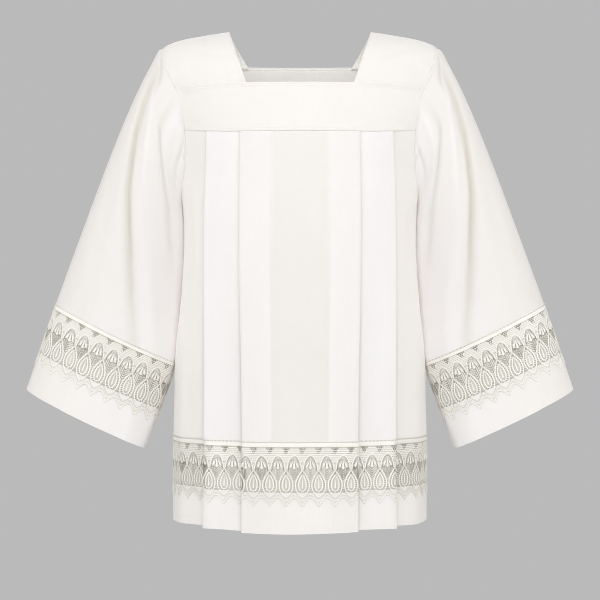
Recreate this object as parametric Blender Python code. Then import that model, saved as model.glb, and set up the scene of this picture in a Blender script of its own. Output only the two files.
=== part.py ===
"""A square-necked surplice with a banded yoke, pressed pleats, wide sleeves and an insertion of lace.

The garment keeps the hollow form that it has when it is worn. Metres, +Z up, the front faces -Y.
The origin lies between the shoulders, at the height where the two straps rest on them.
Run it with: blender --background --python part.py
"""

from math import acos, asin, cos, exp, pi, sin

import bpy
from mathutils import Vector

# ---------------------------------------------------------------- cloth, seams and lace

CLOTH = 0.0012  # one layer of the cloth
DOUBLE = 0.0016  # the yokes and the hems, which are two layers
LACE = 0.0010
SEAM = 0.0003  # between two pieces that are sewn together
YOKE_SEAM = 0.0006  # between a yoke and the pleats, whose walls lean differently
ANGLED_SEAM = 0.0009  # between a strap and a yoke, whose walls meet at an angle
LACE_LIFT = 0.0020  # from the middle of the hem to the middle of the lace that lies on it
SLEEVE_SETBACK = {"shoulder": 0.0009, "armpit": 0.0016}  # from the armhole to the sleeve's first ring

# ---------------------------------------------------------------- heights on the body

NECK_Z = {"front": -0.0948, "back": -0.0448}
STRAP_SEAM_Z = {"front": -0.1000, "back": -0.0600}  # where a strap's seam meets the armhole
YOKE_SEAM_Z = {"front": -0.1720, "back": -0.1220}
HEM_START_Z = -0.7310  # the cloth is cut away behind the lace down to here
HEM_Z = -0.8000
LACE_TOP_Z = -0.6550
LACE_POINT_Z = -0.7560

# ---------------------------------------------------------------- the body's outline, seen from above

ROUNDNESS = 2.3  # the exponent of the superellipse, between an ellipse and a box
# Each row is one height: half the width, and the depths of the side panels' own curve.
BODY = [
    {"z": -0.1220, "width": 0.1948, "front": 0.1080, "back": 0.0940},
    {"z": -0.1720, "width": 0.1948, "front": 0.1108, "back": 0.0990},
    {"z": -0.2576, "width": 0.1948, "front": 0.1150, "back": 0.1030},
    {"z": -0.2937, "width": 0.1909, "front": 0.1155, "back": 0.1030},
    {"z": -0.3347, "width": 0.1891, "front": 0.1160, "back": 0.1020},
    {"z": -0.3839, "width": 0.1907, "front": 0.1165, "back": 0.1010},
    {"z": -0.4446, "width": 0.1952, "front": 0.1170, "back": 0.1010},
    {"z": -0.5134, "width": 0.2029, "front": 0.1180, "back": 0.1030},
    {"z": -0.6118, "width": 0.2060, "front": 0.1200, "back": 0.1070},
    {"z": -0.8000, "width": 0.2070, "front": 0.1250, "back": 0.1160},
]
YOKE = {  # the yoke's depth at its neck edge and at its seam with the panel
    "front": {"neck": 0.1030, "seam": 0.1194},
    "back": {"neck": 0.0850, "seam": 0.1026},
}

# Two pleats on each side of the middle, with their folded edges pointing outwards.
# An edge is where the pleat shows, a turn is where its cloth doubles back out of sight. Under is
# the room that an edge folds round, and over is the room that a turn folds round.
PLEATS = [
    {"z": -0.1220, "edge_1": 0.0935, "turn_1": 0.0440, "edge_2": 0.1460, "turn_2": 0.1060,
     "under": 0.0022, "over": 0.0022},
    {"z": -0.1720, "edge_1": 0.0932, "turn_1": 0.0440, "edge_2": 0.1467, "turn_2": 0.1064,
     "under": 0.0022, "over": 0.0022},
    {"z": -0.6500, "edge_1": 0.0908, "turn_1": 0.0440, "edge_2": 0.1525, "turn_2": 0.1110,
     "under": 0.0032, "over": 0.0066},
    {"z": -0.8000, "edge_1": 0.0913, "turn_1": 0.0440, "edge_2": 0.1537, "turn_2": 0.1120,
     "under": 0.0032, "over": 0.0070},
]

# ---------------------------------------------------------------- neck, shoulders and armholes

NECK_CORNER_X = {"front": 0.0850, "back": 0.0881}
SHOULDER_NECK = Vector((0.1160, 0.0, 0.0))
SHOULDER_RISE = 0.0050  # how far the shoulder's line arches between neck and sleeve
STRAP_ROUNDNESS = 1.8
ARMHOLE_TOP_Z = -0.0264
ARMPIT_Z = -0.2576
ARMHOLE_DEPTH = {"front": 0.070, "back": 0.066}
ARMHOLE = [  # how far out the armhole's seam lies
    {"z": -0.0264, "front": 0.2255, "back": 0.2255},
    {"z": -0.0585, "front": 0.2164, "back": 0.2150},
    {"z": -0.0858, "front": 0.2049, "back": 0.2060},
    {"z": -0.1069, "front": 0.1937, "back": 0.2010},
    {"z": -0.1440, "front": 0.1888, "back": 0.1960},
    {"z": -0.1720, "front": 0.1862, "back": 0.1930},
    {"z": -0.2089, "front": 0.1841, "back": 0.1905},
    {"z": -0.2379, "front": 0.1880, "back": 0.1915},
    {"z": -0.2576, "front": 0.1948, "back": 0.1948},
]

# ---------------------------------------------------------------- sleeves

# Each row is one ring below the armhole: the sleeve's outer and inner edges, its depth to the front
# and to the back, how pointed its edges are, and where its two long folds lie between the edges.
SLEEVE = [
    {"name": "armhole", "outer_x": 0.2255, "outer_z": -0.0264, "inner_x": 0.1948, "inner_y": 0.000,
     "inner_z": -0.2576, "front": 0.070, "back": 0.066, "edge": 1.00,
     "fold_a": 0.100, "deep_a": 0.000, "fold_b": 0.330, "deep_b": 0.000},
    {"name": "cap", "outer_x": 0.2516, "outer_z": -0.0690, "inner_x": 0.1922, "inner_y": 0.036,
     "inner_z": -0.2975, "front": 0.076, "back": 0.070, "edge": 1.00,
     "fold_a": 0.120, "deep_a": 0.006, "fold_b": 0.330, "deep_b": 0.009},
    {"name": "upper", "outer_x": 0.2808, "outer_z": -0.1313, "inner_x": 0.1915, "inner_y": 0.046,
     "inner_z": -0.3445, "front": 0.078, "back": 0.072, "edge": 1.00,
     "fold_a": 0.180, "deep_a": 0.009, "fold_b": 0.620, "deep_b": 0.008},
    {"name": "middle", "outer_x": 0.3103, "outer_z": -0.2035, "inner_x": 0.1925, "inner_y": 0.050,
     "inner_z": -0.3930, "front": 0.077, "back": 0.072, "edge": 1.02,
     "fold_a": 0.290, "deep_a": 0.010, "fold_b": 0.780, "deep_b": 0.004},
    {"name": "elbow", "outer_x": 0.3383, "outer_z": -0.2773, "inner_x": 0.1960, "inner_y": 0.050,
     "inner_z": -0.4420, "front": 0.074, "back": 0.070, "edge": 1.05,
     "fold_a": 0.446, "deep_a": 0.009, "fold_b": 0.850, "deep_b": 0.000},
    {"name": "lower", "outer_x": 0.3662, "outer_z": -0.3527, "inner_x": 0.2010, "inner_y": 0.042,
     "inner_z": -0.4910, "front": 0.070, "back": 0.067, "edge": 1.08,
     "fold_a": 0.570, "deep_a": 0.007, "fold_b": 0.880, "deep_b": 0.000},
    {"name": "lace", "outer_x": 0.4010, "outer_z": -0.4483, "inner_x": 0.2092, "inner_y": 0.026,
     "inner_z": -0.5390, "front": 0.066, "back": 0.063, "edge": 1.12,
     "fold_a": 0.695, "deep_a": 0.004, "fold_b": 0.900, "deep_b": 0.000},
    {"name": "cuff", "outer_x": 0.4477, "outer_z": -0.5840, "inner_x": 0.2550, "inner_y": 0.020,
     "inner_z": -0.6800, "front": 0.062, "back": 0.060, "edge": 1.15,
     "fold_a": 0.730, "deep_a": 0.000, "fold_b": 0.900, "deep_b": 0.000},
]
FOLD_WIDTH = 0.011
BACK_FOLD_SHARE = 0.45  # how deep the folds are behind, beside the front
# Shares of the way from the ring named lace to the cuff, for what the body has as heights.
SLEEVE_HEM_START = 0.592
SLEEVE_LACE_START = 0.004
SLEEVE_LACE_POINT = 0.770

# How many rows of faces each piece has beside the armhole.
STRAP_STEPS = 4
YOKE_STEPS = {"front": 3, "back": 2}
PANEL_ROW_STEPS = {"front": 4, "back": 5}
ARMPIT_CROWDING = 1.5  # the power that draws the panel's rows together towards the armpit
LOWER_ROWS_Z = [-0.2937, -0.3839, -0.5134, LACE_TOP_Z + SEAM]
HEM_ROWS_Z = [HEM_START_Z, HEM_Z]

# ---------------------------------------------------------------- colours

WHITE = {"colour": (0.90, 0.885, 0.86), "roughness": 0.85}
LACE_WHITE = {"colour": (0.88, 0.87, 0.83), "roughness": 0.80}


# ---------------------------------------------------------------- reading the tables


def table_value(table, key, column, at):
    """The column's value at a place, read between the table's rows in a straight line."""
    rows = sorted(table, key=lambda row: row[key])
    at = min(max(at, rows[0][key]), rows[-1][key])
    for low, high in zip(rows, rows[1:]):
        if at <= high[key]:
            share = (at - low[key]) / (high[key] - low[key])
            return low[column] + share * (high[column] - low[column])
    return rows[-1][column]


def smooth_value(rows, column, place):
    """The column's value at a place counted in rows, on a smooth curve through the rows."""
    index = min(int(place), len(rows) - 2)
    t = place - index
    before, here, after, beyond = (
        rows[min(max(index + step, 0), len(rows) - 1)][column] for step in (-1, 0, 1, 2)
    )
    return 0.5 * (
        2 * here
        + (after - before) * t
        + (2 * before - 5 * here + 4 * after - beyond) * t**2
        + (3 * here - before - 3 * after + beyond) * t**3
    )


def mix(a, b, share):
    return a + (b - a) * share


# ---------------------------------------------------------------- the armhole and the body's curve


def armhole_z(share):
    return mix(ARMHOLE_TOP_Z, ARMPIT_Z, share)


def armhole_share(z):
    """The share of the way down the armhole, from the shoulder to the armpit, at a height."""
    return (ARMHOLE_TOP_Z - z) / (ARMHOLE_TOP_Z - ARMPIT_Z)


def armhole_point(face, share):
    """A point of the +X armhole's seam, a share of the way down it."""
    z = armhole_z(share)
    depth = ARMHOLE_DEPTH[face] * sin(acos(1 - 2 * share))
    return Vector((table_value(ARMHOLE, "z", face, z), -depth if face == "front" else depth, z))


def strap_rows(face):
    """The shares at which the strap's rows meet the armhole, closer together at the shoulder."""
    end = armhole_share(STRAP_SEAM_Z[face])
    return [end * (1 - cos(pi / 2 * step / STRAP_STEPS)) for step in range(STRAP_STEPS + 1)]


def yoke_rows(face):
    start, end = armhole_share(STRAP_SEAM_Z[face]), armhole_share(YOKE_SEAM_Z[face])
    return [mix(start, end, step / YOKE_STEPS[face]) for step in range(YOKE_STEPS[face] + 1)]


def panel_rows(face):
    """The same for the panel's rows, closer together at the armpit."""
    start, steps = armhole_share(YOKE_SEAM_Z[face]), PANEL_ROW_STEPS[face]
    return [mix(1, start, (1 - step / steps) ** ARMPIT_CROWDING) for step in range(steps + 1)]


MARKS = ["turn_1", "edge_1", "turn_2", "edge_2"]
SAMPLES = 24  # for measuring along a curve


def evenly(point_at, start, end, share):
    """The parameter a share of the way along a curve, measured in length, between two parameters."""
    stops = [mix(start, end, step / SAMPLES) for step in range(SAMPLES + 1)]
    points = [point_at(stop) for stop in stops]
    lengths = [0.0]
    for here, after in zip(points, points[1:]):
        lengths.append(lengths[-1] + (after - here).length)
    wanted = share * lengths[-1]
    for step in range(SAMPLES):
        if wanted <= lengths[step + 1]:
            part = (wanted - lengths[step]) / (lengths[step + 1] - lengths[step])
            return mix(stops[step], stops[step + 1], part)
    return end


class Section:
    """One half of the body's outline at a height, from the middle of a face round to its end.

    The end is the side seam or, above the armpit, the armhole."""

    def __init__(self, face, z, depth=None):
        self.z, self.out = z, -1 if face == "front" else 1
        self.depth = depth or table_value(BODY, "z", face, z)
        self.width = table_value(BODY, "z", "width", z)
        self.last = pi / 2
        if z > ARMPIT_Z:
            edge = armhole_point(face, armhole_share(z))
            reach = (1 - (abs(edge.y) / self.depth) ** ROUNDNESS) ** (1 / ROUNDNESS)
            self.width = edge.x / reach
            self.last = self.turn_at(edge.x)

    def turn_at(self, x):
        """The curve's parameter where it is this far from the middle."""
        return asin(min(1.0, x / self.width) ** (ROUNDNESS / 2))

    def point(self, turn):
        power = 2 / ROUNDNESS
        across, deep = max(sin(turn), 0.0) ** power, max(cos(turn), 0.0) ** power
        return Vector((self.width * across, self.out * self.depth * deep, self.z))

    def directions(self, turn):
        """Out of the cloth, and along it away from the middle."""
        place = self.point(turn)
        power = ROUNDNESS - 1
        normal = Vector((abs(place.x / self.width) ** power / self.width,
                         self.out * abs(place.y / self.depth) ** power / self.depth, 0)).normalized()
        return normal, Vector((abs(normal.y), -self.out * normal.x, 0))

    def zone_turn(self, zone, share):
        """The parameter a share of the way across one of the zones between the pleats' marks."""
        turns = [0.0] + [self.turn_at(table_value(PLEATS, "z", mark, self.z)) for mark in MARKS]
        turns.append(self.last)
        return evenly(self.point, turns[zone], turns[zone + 1], share)


# ---------------------------------------------------------------- the pleated cloth

# The cloth's way from the middle to the side. A run crosses the zones between the marks, which are
# numbered from the middle outwards. A bend joins two runs.
PATH = [
    {"run": "middle", "zones": [0, 1], "backwards": False},
    {"run": "edge_1", "zones": [], "backwards": False},
    {"run": "under_1", "zones": [1], "backwards": True},
    {"run": "turn_1", "zones": [], "backwards": False},
    {"run": "second", "zones": [1, 2, 3], "backwards": False},
    {"run": "edge_2", "zones": [], "backwards": False},
    {"run": "under_2", "zones": [3], "backwards": True},
    {"run": "turn_2", "zones": [], "backwards": False},
    {"run": "side", "zones": [3, 4], "backwards": False},
]
PANEL_STEPS = [2, 2, 1, 3, 5]  # columns of cloth across each zone
LACE_STEPS = [3, 4, 2, 3, 7]  # half repeats of the lace across each zone
BEND_STEPS = 2


def half_path(steps):
    """The columns from the middle to the side, and whether the way to each one is flat or a bend."""
    columns, ways = [("middle", 0, 0.0)], []
    for part in PATH:
        for zone in part["zones"]:
            for step in range(1, steps[zone] + 1):
                share = step / steps[zone]
                columns.append((part["run"], zone, 1 - share if part["backwards"] else share))
                ways.append("flat")
        if not part["zones"]:
            for step in range(1, BEND_STEPS + 1):
                columns.append((part["run"], None, step / BEND_STEPS))
                ways.append("bend")
    return columns, ways


def whole_path(steps):
    """The same from side seam to side seam, each column with the side that it is on."""
    columns, ways = half_path(steps)
    whole = [(-1, column) for column in reversed(columns[1:])] + [(1, column) for column in columns]
    return whole, ways[::-1] + ways


def pleated_point(face, z, column, lift=0.0):
    """A point of the pleated cloth, and lift above its right side. The last one is at the seam."""
    side, (run, zone, share) = column
    section = Section(face, z)
    under, over = (table_value(PLEATS, "z", name, z) for name in ("under", "over"))
    step = under + over
    top = {"middle": 2, "edge_1": 2, "under_1": 2, "turn_1": 2, "side": 0}.get(run, 1) * step
    if zone is None:
        turn = section.turn_at(table_value(PLEATS, "z", run, z))
        normal, along = section.directions(turn)
        angle = pi * share
        if run.startswith("edge"):  # the right side is outside the bend
            spoke = normal * cos(angle) + along * sin(angle)
            off = normal * (top - under / 2) + spoke * (under / 2 + lift)
        else:  # the right side is inside the bend
            spoke = normal * cos(angle) - along * sin(angle)
            off = normal * (top - under - over / 2) + spoke * (over / 2 - lift)
    else:
        turn = section.zone_turn(zone, share)
        normal, _ = section.directions(turn)
        off = normal * (top - under - lift if run.startswith("under") else top + lift)
    point = section.point(turn) + off
    if z < ARMPIT_Z + SEAM and (run, zone, share) == ("side", 4, 1.0):
        point.y = section.out * SEAM / 2
    return Vector((side * point.x, point.y, point.z))


def pleated_rows(face, heights, steps):
    columns, _ = whole_path(steps)
    return [[pleated_point(face, z, column) for column in columns] for z in heights]


# ---------------------------------------------------------------- the sleeve's rings


def sleeve_edges(place):
    """The outer and inner edges of the ring at a place counted in the table's rows."""
    outer = Vector((smooth_value(SLEEVE, "outer_x", place), 0, smooth_value(SLEEVE, "outer_z", place)))
    inner = Vector([smooth_value(SLEEVE, "inner_" + axis, place) for axis in "xyz"])
    return outer, inner


def fold_depth(place, across, width):
    """How far the front of the sleeve sinks at its two long folds."""
    sunk = 0.0
    for fold in "ab":
        away = (across - smooth_value(SLEEVE, "fold_" + fold, place)) * width / FOLD_WIDTH
        sunk += smooth_value(SLEEVE, "deep_" + fold, place) * exp(-away * away)
    return sunk


def sleeve_point(face, place, across, lift=0.0):
    """A point of the +X sleeve: across runs from its outer edge, 0, to its inner edge, 1."""
    outer, inner = sleeve_edges(place)
    angle = acos(min(1.0, max(-1.0, 1 - 2 * across)))
    half = (outer - inner) / 2
    depth = smooth_value(SLEEVE, face, place)
    bow = sin(angle) ** smooth_value(SLEEVE, "edge", place)
    sink = fold_depth(place, across, 2 * half.length) * (1 if face == "front" else BACK_FOLD_SHARE)
    out = -1 if face == "front" else 1
    point = (outer + inner) / 2 + half * cos(angle)
    point.y += out * (depth * bow - sink * min(1.0, bow * 2))
    if lift:
        outwards = half.normalized() * cos(angle) / half.length
        outwards.y += out * sin(angle) / depth
        point += outwards.normalized() * lift
    return point


# The sleeve's columns, as shares of the way from edge to fold a, fold a to b, and fold b to edge.
FOLD_COLUMNS = {
    "front": {"outer": [0, 0.5, 0.8], "between": [0, 0.2, 0.5, 0.8], "inner": [0, 0.2, 0.45, 0.75, 1]},
    "back": {"outer": [0, 0.5, 0.8], "between": [0, 0.3, 0.65], "inner": [0, 0.2, 0.4, 0.6, 0.8, 1]},
}


def sleeve_shares(face, place):
    """Where the ring's points lie between its edges: on the armhole's own rows at first, and from
    the next ring on beside the folds, so that the columns follow them."""
    at_armhole = strap_rows(face) + yoke_rows(face)[1:] + panel_rows(face)[1:]
    a, b = smooth_value(SLEEVE, "fold_a", place), smooth_value(SLEEVE, "fold_b", place)
    stretches = {"outer": (0, a), "between": (a, b), "inner": (b, 1)}
    beside_folds = [mix(*stretches[name], share) for name, shares in FOLD_COLUMNS[face].items()
                    for share in shares]
    blend = min(1.0, place)
    return [mix(start, end, blend) for start, end in zip(at_armhole, beside_folds)]


def armhole_ring_point(face, share):
    """A point of the sleeve's first ring, which stands off the body by a seam."""
    point = armhole_point(face, share)
    point.x += mix(SLEEVE_SETBACK["shoulder"], SLEEVE_SETBACK["armpit"], share**4)
    return point


def closed_ring(halves, side):
    """One ring from its two halves, down the front from the outer edge and back up behind."""
    ring = halves["front"][:-1] + list(reversed(halves["back"]))[:-1]
    return [Vector((side * p.x, p.y, p.z)) for p in ring]


def sleeve_ring(place, side):
    halves = {}
    for face in ("front", "back"):
        shares = sleeve_shares(face, place)
        if place == 0:
            halves[face] = [armhole_ring_point(face, share) for share in shares]
        else:
            halves[face] = [sleeve_point(face, place, share) for share in shares]
    return closed_ring(halves, side)


SLEEVE_HALF_REPEATS = 20  # of the lace, from the sleeve's outer edge to its inner edge


def lace_column_point(face, place, column, lift=0.0):
    """A point of the sleeve on one of the lace's columns, which are evenly spaced round it."""

    def at(angle):
        return sleeve_point(face, place, (1 - cos(angle)) / 2)

    angle = evenly(at, 0.0, pi, column / SLEEVE_HALF_REPEATS)
    return sleeve_point(face, place, (1 - cos(angle)) / 2, lift)


def hem_ring(place, side):
    columns = range(SLEEVE_HALF_REPEATS + 1)
    return closed_ring({face: [lace_column_point(face, place, column) for column in columns]
                        for face in ("front", "back")}, side)


LACE_RING = len(SLEEVE) - 2  # the place of the ring where the sleeve's lace begins


# ---------------------------------------------------------------- making solids


def material(name, finish):
    made = bpy.data.materials.new(name)
    made.use_nodes = True
    shader = made.node_tree.nodes["Principled BSDF"]
    shader.inputs["Base Color"].default_value = (*finish["colour"], 1)
    shader.inputs["Roughness"].default_value = finish["roughness"]
    return made


def cloth_object(name, points, faces, thickness, surface):
    """A sheet of cloth: the faces lie in the middle of the wall that Solidify gives them."""
    mesh = bpy.data.meshes.new(name)
    mesh.from_pydata(points, [], faces)
    mesh.validate()
    mesh.shade_smooth()
    mesh.materials.append(surface)
    piece = bpy.data.objects.new(name, mesh)
    bpy.context.scene.collection.objects.link(piece)
    wall = piece.modifiers.new("wall", "SOLIDIFY")
    wall.thickness = thickness
    wall.offset = 0.0
    return piece


def grid_object(name, rows, thickness, surface):
    """A sheet from rows of points."""
    width = len(rows[0])
    faces = []
    for r in range(len(rows) - 1):
        for c in range(width - 1):
            here, below = r * width + c, (r + 1) * width + c
            faces.append((here, here + 1, below + 1, below))
    return cloth_object(name, [p for row in rows for p in row], faces, thickness, surface)


def tube_object(name, rings, thickness, surface):
    """A tube from rings. Each four points are split so that the cloth bows away from the body."""
    width = len(rings[0])
    faces = []
    for r in range(len(rings) - 1):
        for c in range(width):
            here, below = r * width + c, (r + 1) * width + c
            after, below_after = r * width + (c + 1) % width, (r + 1) * width + (c + 1) % width
            if c < width // 2:
                faces += [(here, after, below), (after, below_after, below)]
            else:
                faces += [(here, after, below_after), (here, below_after, below)]
    return cloth_object(name, [p for ring in rings for p in ring], faces, thickness, surface)


# ---------------------------------------------------------------- yokes and straps


def mirrored(row):
    """The whole row, from the -X side to the +X side, from the half that starts at the middle."""
    return [Vector((-p.x, p.y, p.z)) for p in reversed(row[1:])] + row


YOKE_COLUMNS = {  # shares of the way to the corner of the neck, and from there to the armhole
    "neck": [0.0, 0.5],
    "shoulder": [0.0, 0.25, 0.5, 0.75, 0.92, 1.0],
}


def yoke_row(face, row):
    """Half a row of a yoke, from the middle to the armhole, bending down a little to the sleeve."""
    shares = yoke_rows(face)
    down = row / YOKE_STEPS[face]
    neck_z, side_z = mix(NECK_Z[face], YOKE_SEAM_Z[face], down), armhole_z(shares[row])
    if row == YOKE_STEPS[face]:
        neck_z, side_z = neck_z + YOKE_SEAM / 2, side_z + YOKE_SEAM / 2
    depth = mix(YOKE[face]["neck"], YOKE[face]["seam"], down)
    level = Section(face, neck_z, depth)
    points = [level.point(level.turn_at(share * NECK_CORNER_X[face])) for share in YOKE_COLUMNS["neck"]]
    for share in YOKE_COLUMNS["shoulder"]:
        section = Section(face, mix(neck_z, side_z, share**2), depth)
        points.append(section.point(mix(section.turn_at(NECK_CORNER_X[face]), section.last, share)))
    return points


def yoke(face, surface):
    rows = [mirrored(yoke_row(face, row)) for row in range(YOKE_STEPS[face] + 1)]
    return grid_object(face + "_yoke", rows, DOUBLE, surface)


def shoulder_line(share):
    """The top of the shoulder, from the neck to the armhole."""
    end = armhole_point("front", 0.0)
    return mix(SHOULDER_NECK, end, share) + Vector((0, 0, 4 * SHOULDER_RISE * share * (1 - share)))


def strap_half(face, side):
    """Rows from the shoulder's line down to the yoke, as a patch stretched between four edges."""
    seam = [p + Vector((0, 0, ANGLED_SEAM)) for p in yoke_row(face, 0)[len(YOKE_COLUMNS["neck"]):]]
    shares = [0.0] + [(p - seam[0]).length / (seam[-1] - seam[0]).length for p in seam[1:]]
    shares[-1] = 1.0
    drops = strap_rows(face)
    rows = []
    for drop in drops:
        down = drop / drops[-1]
        angle = acos(1 - down)
        neck_edge = Vector((
            mix(SHOULDER_NECK.x, seam[0].x, down),
            seam[0].y * sin(angle) ** (2 / STRAP_ROUNDNESS),
            mix(SHOULDER_NECK.z, seam[0].z, down),
        ))
        arm_edge = armhole_point(face, drop) + Vector((0, 0, ANGLED_SEAM * down))
        row = []
        for share, low in zip(shares, seam):
            top = shoulder_line(share)
            corners = mix(mix(SHOULDER_NECK, shoulder_line(1.0), share), mix(seam[0], seam[-1], share), down)
            row.append(mix(top, low, down) + mix(neck_edge, arm_edge, share) - corners)
        rows.append([Vector((side * p.x, p.y, p.z)) for p in row])
    return rows


def strap(name, side, surface):
    front, back = strap_half("front", side), strap_half("back", side)
    return grid_object(name, list(reversed(front)) + back[1:], CLOTH, surface)


# ---------------------------------------------------------------- lace

# Half of one repeat, from the middle of an arch to the middle of a drop. Across is a share of the
# half repeat, and down is a share of the way from the lace's top edge to its lowest points.
HALF_REPEAT = {
    "top_arch": {"across": 0.00, "down": 0.000},
    "top_drop": {"across": 1.00, "down": 0.000},
    "arch_top": {"across": 0.00, "down": 0.240},
    "arch_shoulder": {"across": 0.62, "down": 0.330},
    "arch_waist": {"across": 0.62, "down": 0.405},
    "arch_foot": {"across": 0.00, "down": 0.560},
    "drop_top": {"across": 1.00, "down": 0.465},
    "drop_side": {"across": 0.34, "down": 0.660},
    "drop_heel": {"across": 0.52, "down": 0.745},
    "drop_foot": {"across": 1.00, "down": 0.765},
    "valley": {"across": 0.00, "down": 0.881},
    "point": {"across": 1.00, "down": 1.000},
}
# What lies between the gaps: the two gaps are the arch, and the drop below and beside it.
HALF_REPEAT_FACES = [
    ("top_arch", "top_drop", "arch_shoulder", "arch_top"),
    ("top_drop", "drop_top", "arch_waist", "arch_shoulder"),
    ("arch_waist", "drop_top", "drop_side", "arch_foot"),
    ("arch_foot", "drop_side", "drop_heel", "valley"),
    ("valley", "drop_heel", "drop_foot", "point"),
]
EDGE_COLUMNS = [  # the points down the middle of an arch, and down the middle of a drop
    ("top_arch", "arch_top", "arch_foot", "valley"),
    ("top_drop", "drop_top", "drop_foot", "point"),
]
LACE_SETTLED = 0.56  # the share of the way down at which the lace lies at its full lift


def lace_object(name, ways, column_point, flipped, surface):
    """A band of lace on its columns: a half repeat on each flat way, plain on each bend."""
    index, points, faces = {}, [], []

    def corner(column, name_of_point, reverse):
        row = HALF_REPEAT[name_of_point]
        across, down = 1 - row["across"] if reverse else row["across"], row["down"]
        key = (round(column + across, 6), down)
        if key not in index:
            index[key] = len(points)
            before = int(column + across)
            lift = LACE_LIFT * min(1.0, down / LACE_SETTLED)
            ends = [column_point(c, down, lift) for c in (before, min(before + 1, len(ways)))]
            points.append(mix(ends[0], ends[1], column + across - before))
        return index[key]

    phase = 0  # 0 where the middle of an arch comes next, 1 where the middle of a drop does
    for column, way in enumerate(ways):
        if way == "flat":
            for face in HALF_REPEAT_FACES:
                corners = [corner(column, name_of_point, phase == 1) for name_of_point in face]
                faces.append(corners[::-1] if phase == 1 else corners)
            phase = 1 - phase
        else:
            edge = EDGE_COLUMNS[phase]
            for high, low in zip(edge, edge[1:]):
                faces.append([corner(column + step, name_of_point, phase == 1) for step, name_of_point in
                              zip((0, 1, 1, 0), (high, high, low, low))])
    if flipped:
        faces = [face[::-1] for face in faces]
    return cloth_object(name, points, faces, LACE, surface)


def body_lace(face, surface):
    """The lace round one face of the body, through its pleats and over the top of the hem."""
    columns, ways = whole_path(LACE_STEPS)

    def at(column, down, lift):
        return pleated_point(face, mix(LACE_TOP_Z, LACE_POINT_Z, down), columns[column], lift)

    return lace_object("lace_" + face, ways, at, face == "back", surface)


def sleeve_lace(name, face, side, surface):
    """The lace round one half of a sleeve, from its outer edge to its inner edge."""
    start = LACE_RING + SLEEVE_LACE_START

    def at(column, down, lift):
        place = mix(start, LACE_RING + SLEEVE_LACE_POINT, down)
        point = lace_column_point(face, place, column, lift)
        if column in (0, SLEEVE_HALF_REPEATS):
            point.y += -SEAM if face == "front" else SEAM
        return Vector((side * point.x, point.y, point.z))

    return lace_object(name, ["flat"] * SLEEVE_HALF_REPEATS, at, (face == "front") == (side > 0), surface)


# ---------------------------------------------------------------- the garment


def clear_scene():
    for thing in list(bpy.data.objects):
        bpy.data.objects.remove(thing)


def build_body(cloth, lace):
    for face in ("front", "back"):
        upper = [armhole_z(share) for share in panel_rows(face)]
        upper[0] -= YOKE_SEAM / 2
        grid_object(face + "_panel", pleated_rows(face, upper + LOWER_ROWS_Z, PANEL_STEPS), CLOTH, cloth)
        grid_object("hem_" + face, pleated_rows(face, HEM_ROWS_Z, LACE_STEPS), DOUBLE, cloth)
        yoke(face, cloth)
        body_lace(face, lace)


def build_sides(cloth, lace):
    for name, side in (("left", 1), ("right", -1)):
        strap("shoulder_strap_" + name, side, cloth)
        rings = [sleeve_ring(place, side) for place in range(LACE_RING + 1)]
        tube_object("sleeve_" + name, rings, CLOTH, cloth)
        hem_places = [LACE_RING + SLEEVE_HEM_START, LACE_RING + 1]
        hem_rings = [hem_ring(place, side) for place in hem_places]
        tube_object("sleeve_hem_" + name, hem_rings, DOUBLE, cloth)
        for face in ("front", "back"):
            sleeve_lace("sleeve_lace_" + name + "_" + face, face, side, lace)


def main():
    clear_scene()
    cloth = material("white_cloth", WHITE)
    lace = material("white_lace", LACE_WHITE)
    build_body(cloth, lace)
    build_sides(cloth, lace)


main()
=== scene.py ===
# %% [markdown]
# A surplice is a loose white choir robe. This one is short, with a square neck, a band across the
# chest, pressed pleats below it, wide sleeves, and lace let in above the hem and the cuffs.
# It could be draped by simulation, but pressed pleats are laid by hand with an iron, so here each
# sheet is a grid of points that follows the maker's sizes, and the creases are placed one by one.
# First the plain frame is loaded. Its solids are replaced piece by piece below.

from math import cos, pi, radians, sin, sqrt

import bpy
import numpy as np
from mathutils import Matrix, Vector


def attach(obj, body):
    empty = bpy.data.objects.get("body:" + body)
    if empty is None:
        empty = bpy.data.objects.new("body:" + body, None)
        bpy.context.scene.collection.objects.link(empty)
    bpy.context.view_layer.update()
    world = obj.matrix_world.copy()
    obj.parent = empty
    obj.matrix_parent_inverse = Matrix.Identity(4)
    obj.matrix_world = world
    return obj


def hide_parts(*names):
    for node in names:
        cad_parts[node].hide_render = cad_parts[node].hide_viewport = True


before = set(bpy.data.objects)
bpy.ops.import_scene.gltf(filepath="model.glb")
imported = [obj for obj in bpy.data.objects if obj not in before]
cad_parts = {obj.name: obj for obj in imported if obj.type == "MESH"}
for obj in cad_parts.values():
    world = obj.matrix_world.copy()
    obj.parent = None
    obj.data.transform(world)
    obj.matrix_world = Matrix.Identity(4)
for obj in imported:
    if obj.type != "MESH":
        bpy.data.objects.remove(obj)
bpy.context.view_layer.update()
MM = 0.001
OUT = {"front": -1, "back": 1}  # which way each face looks along Y
SIDES = (("left", 1), ("right", -1))  # the wearer's sides, and which way each looks along X

# %% [markdown]
# A few small helpers are used all through: tables with named columns, a value held between
# 0 and 1, a place on a line of points, and the smooth curve between two values.

# %% Tables and curves
def table(columns, rows):
    """Rows of values as dictionaries, so that every column has a name."""
    return [dict(zip(columns.split(), row)) for row in rows]


def unit(value):
    return np.clip(value, 0, 1)


def on_line(at, places, line):
    """Points read off a line of points, at places along it."""
    return np.stack([np.interp(at, places, line[:, k]) for k in range(3)], axis=-1)


def smooth(s, low, high, low_slope, high_slope, gap=1.0):
    """A value at a share of the gap between two values whose slopes are known."""
    return ((2 * s**3 - 3 * s**2 + 1) * low + (s**3 - 2 * s**2 + s) * gap * low_slope
            + (3 * s**2 - 2 * s**3) * high + (s**3 - s**2) * gap * high_slope)


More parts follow.
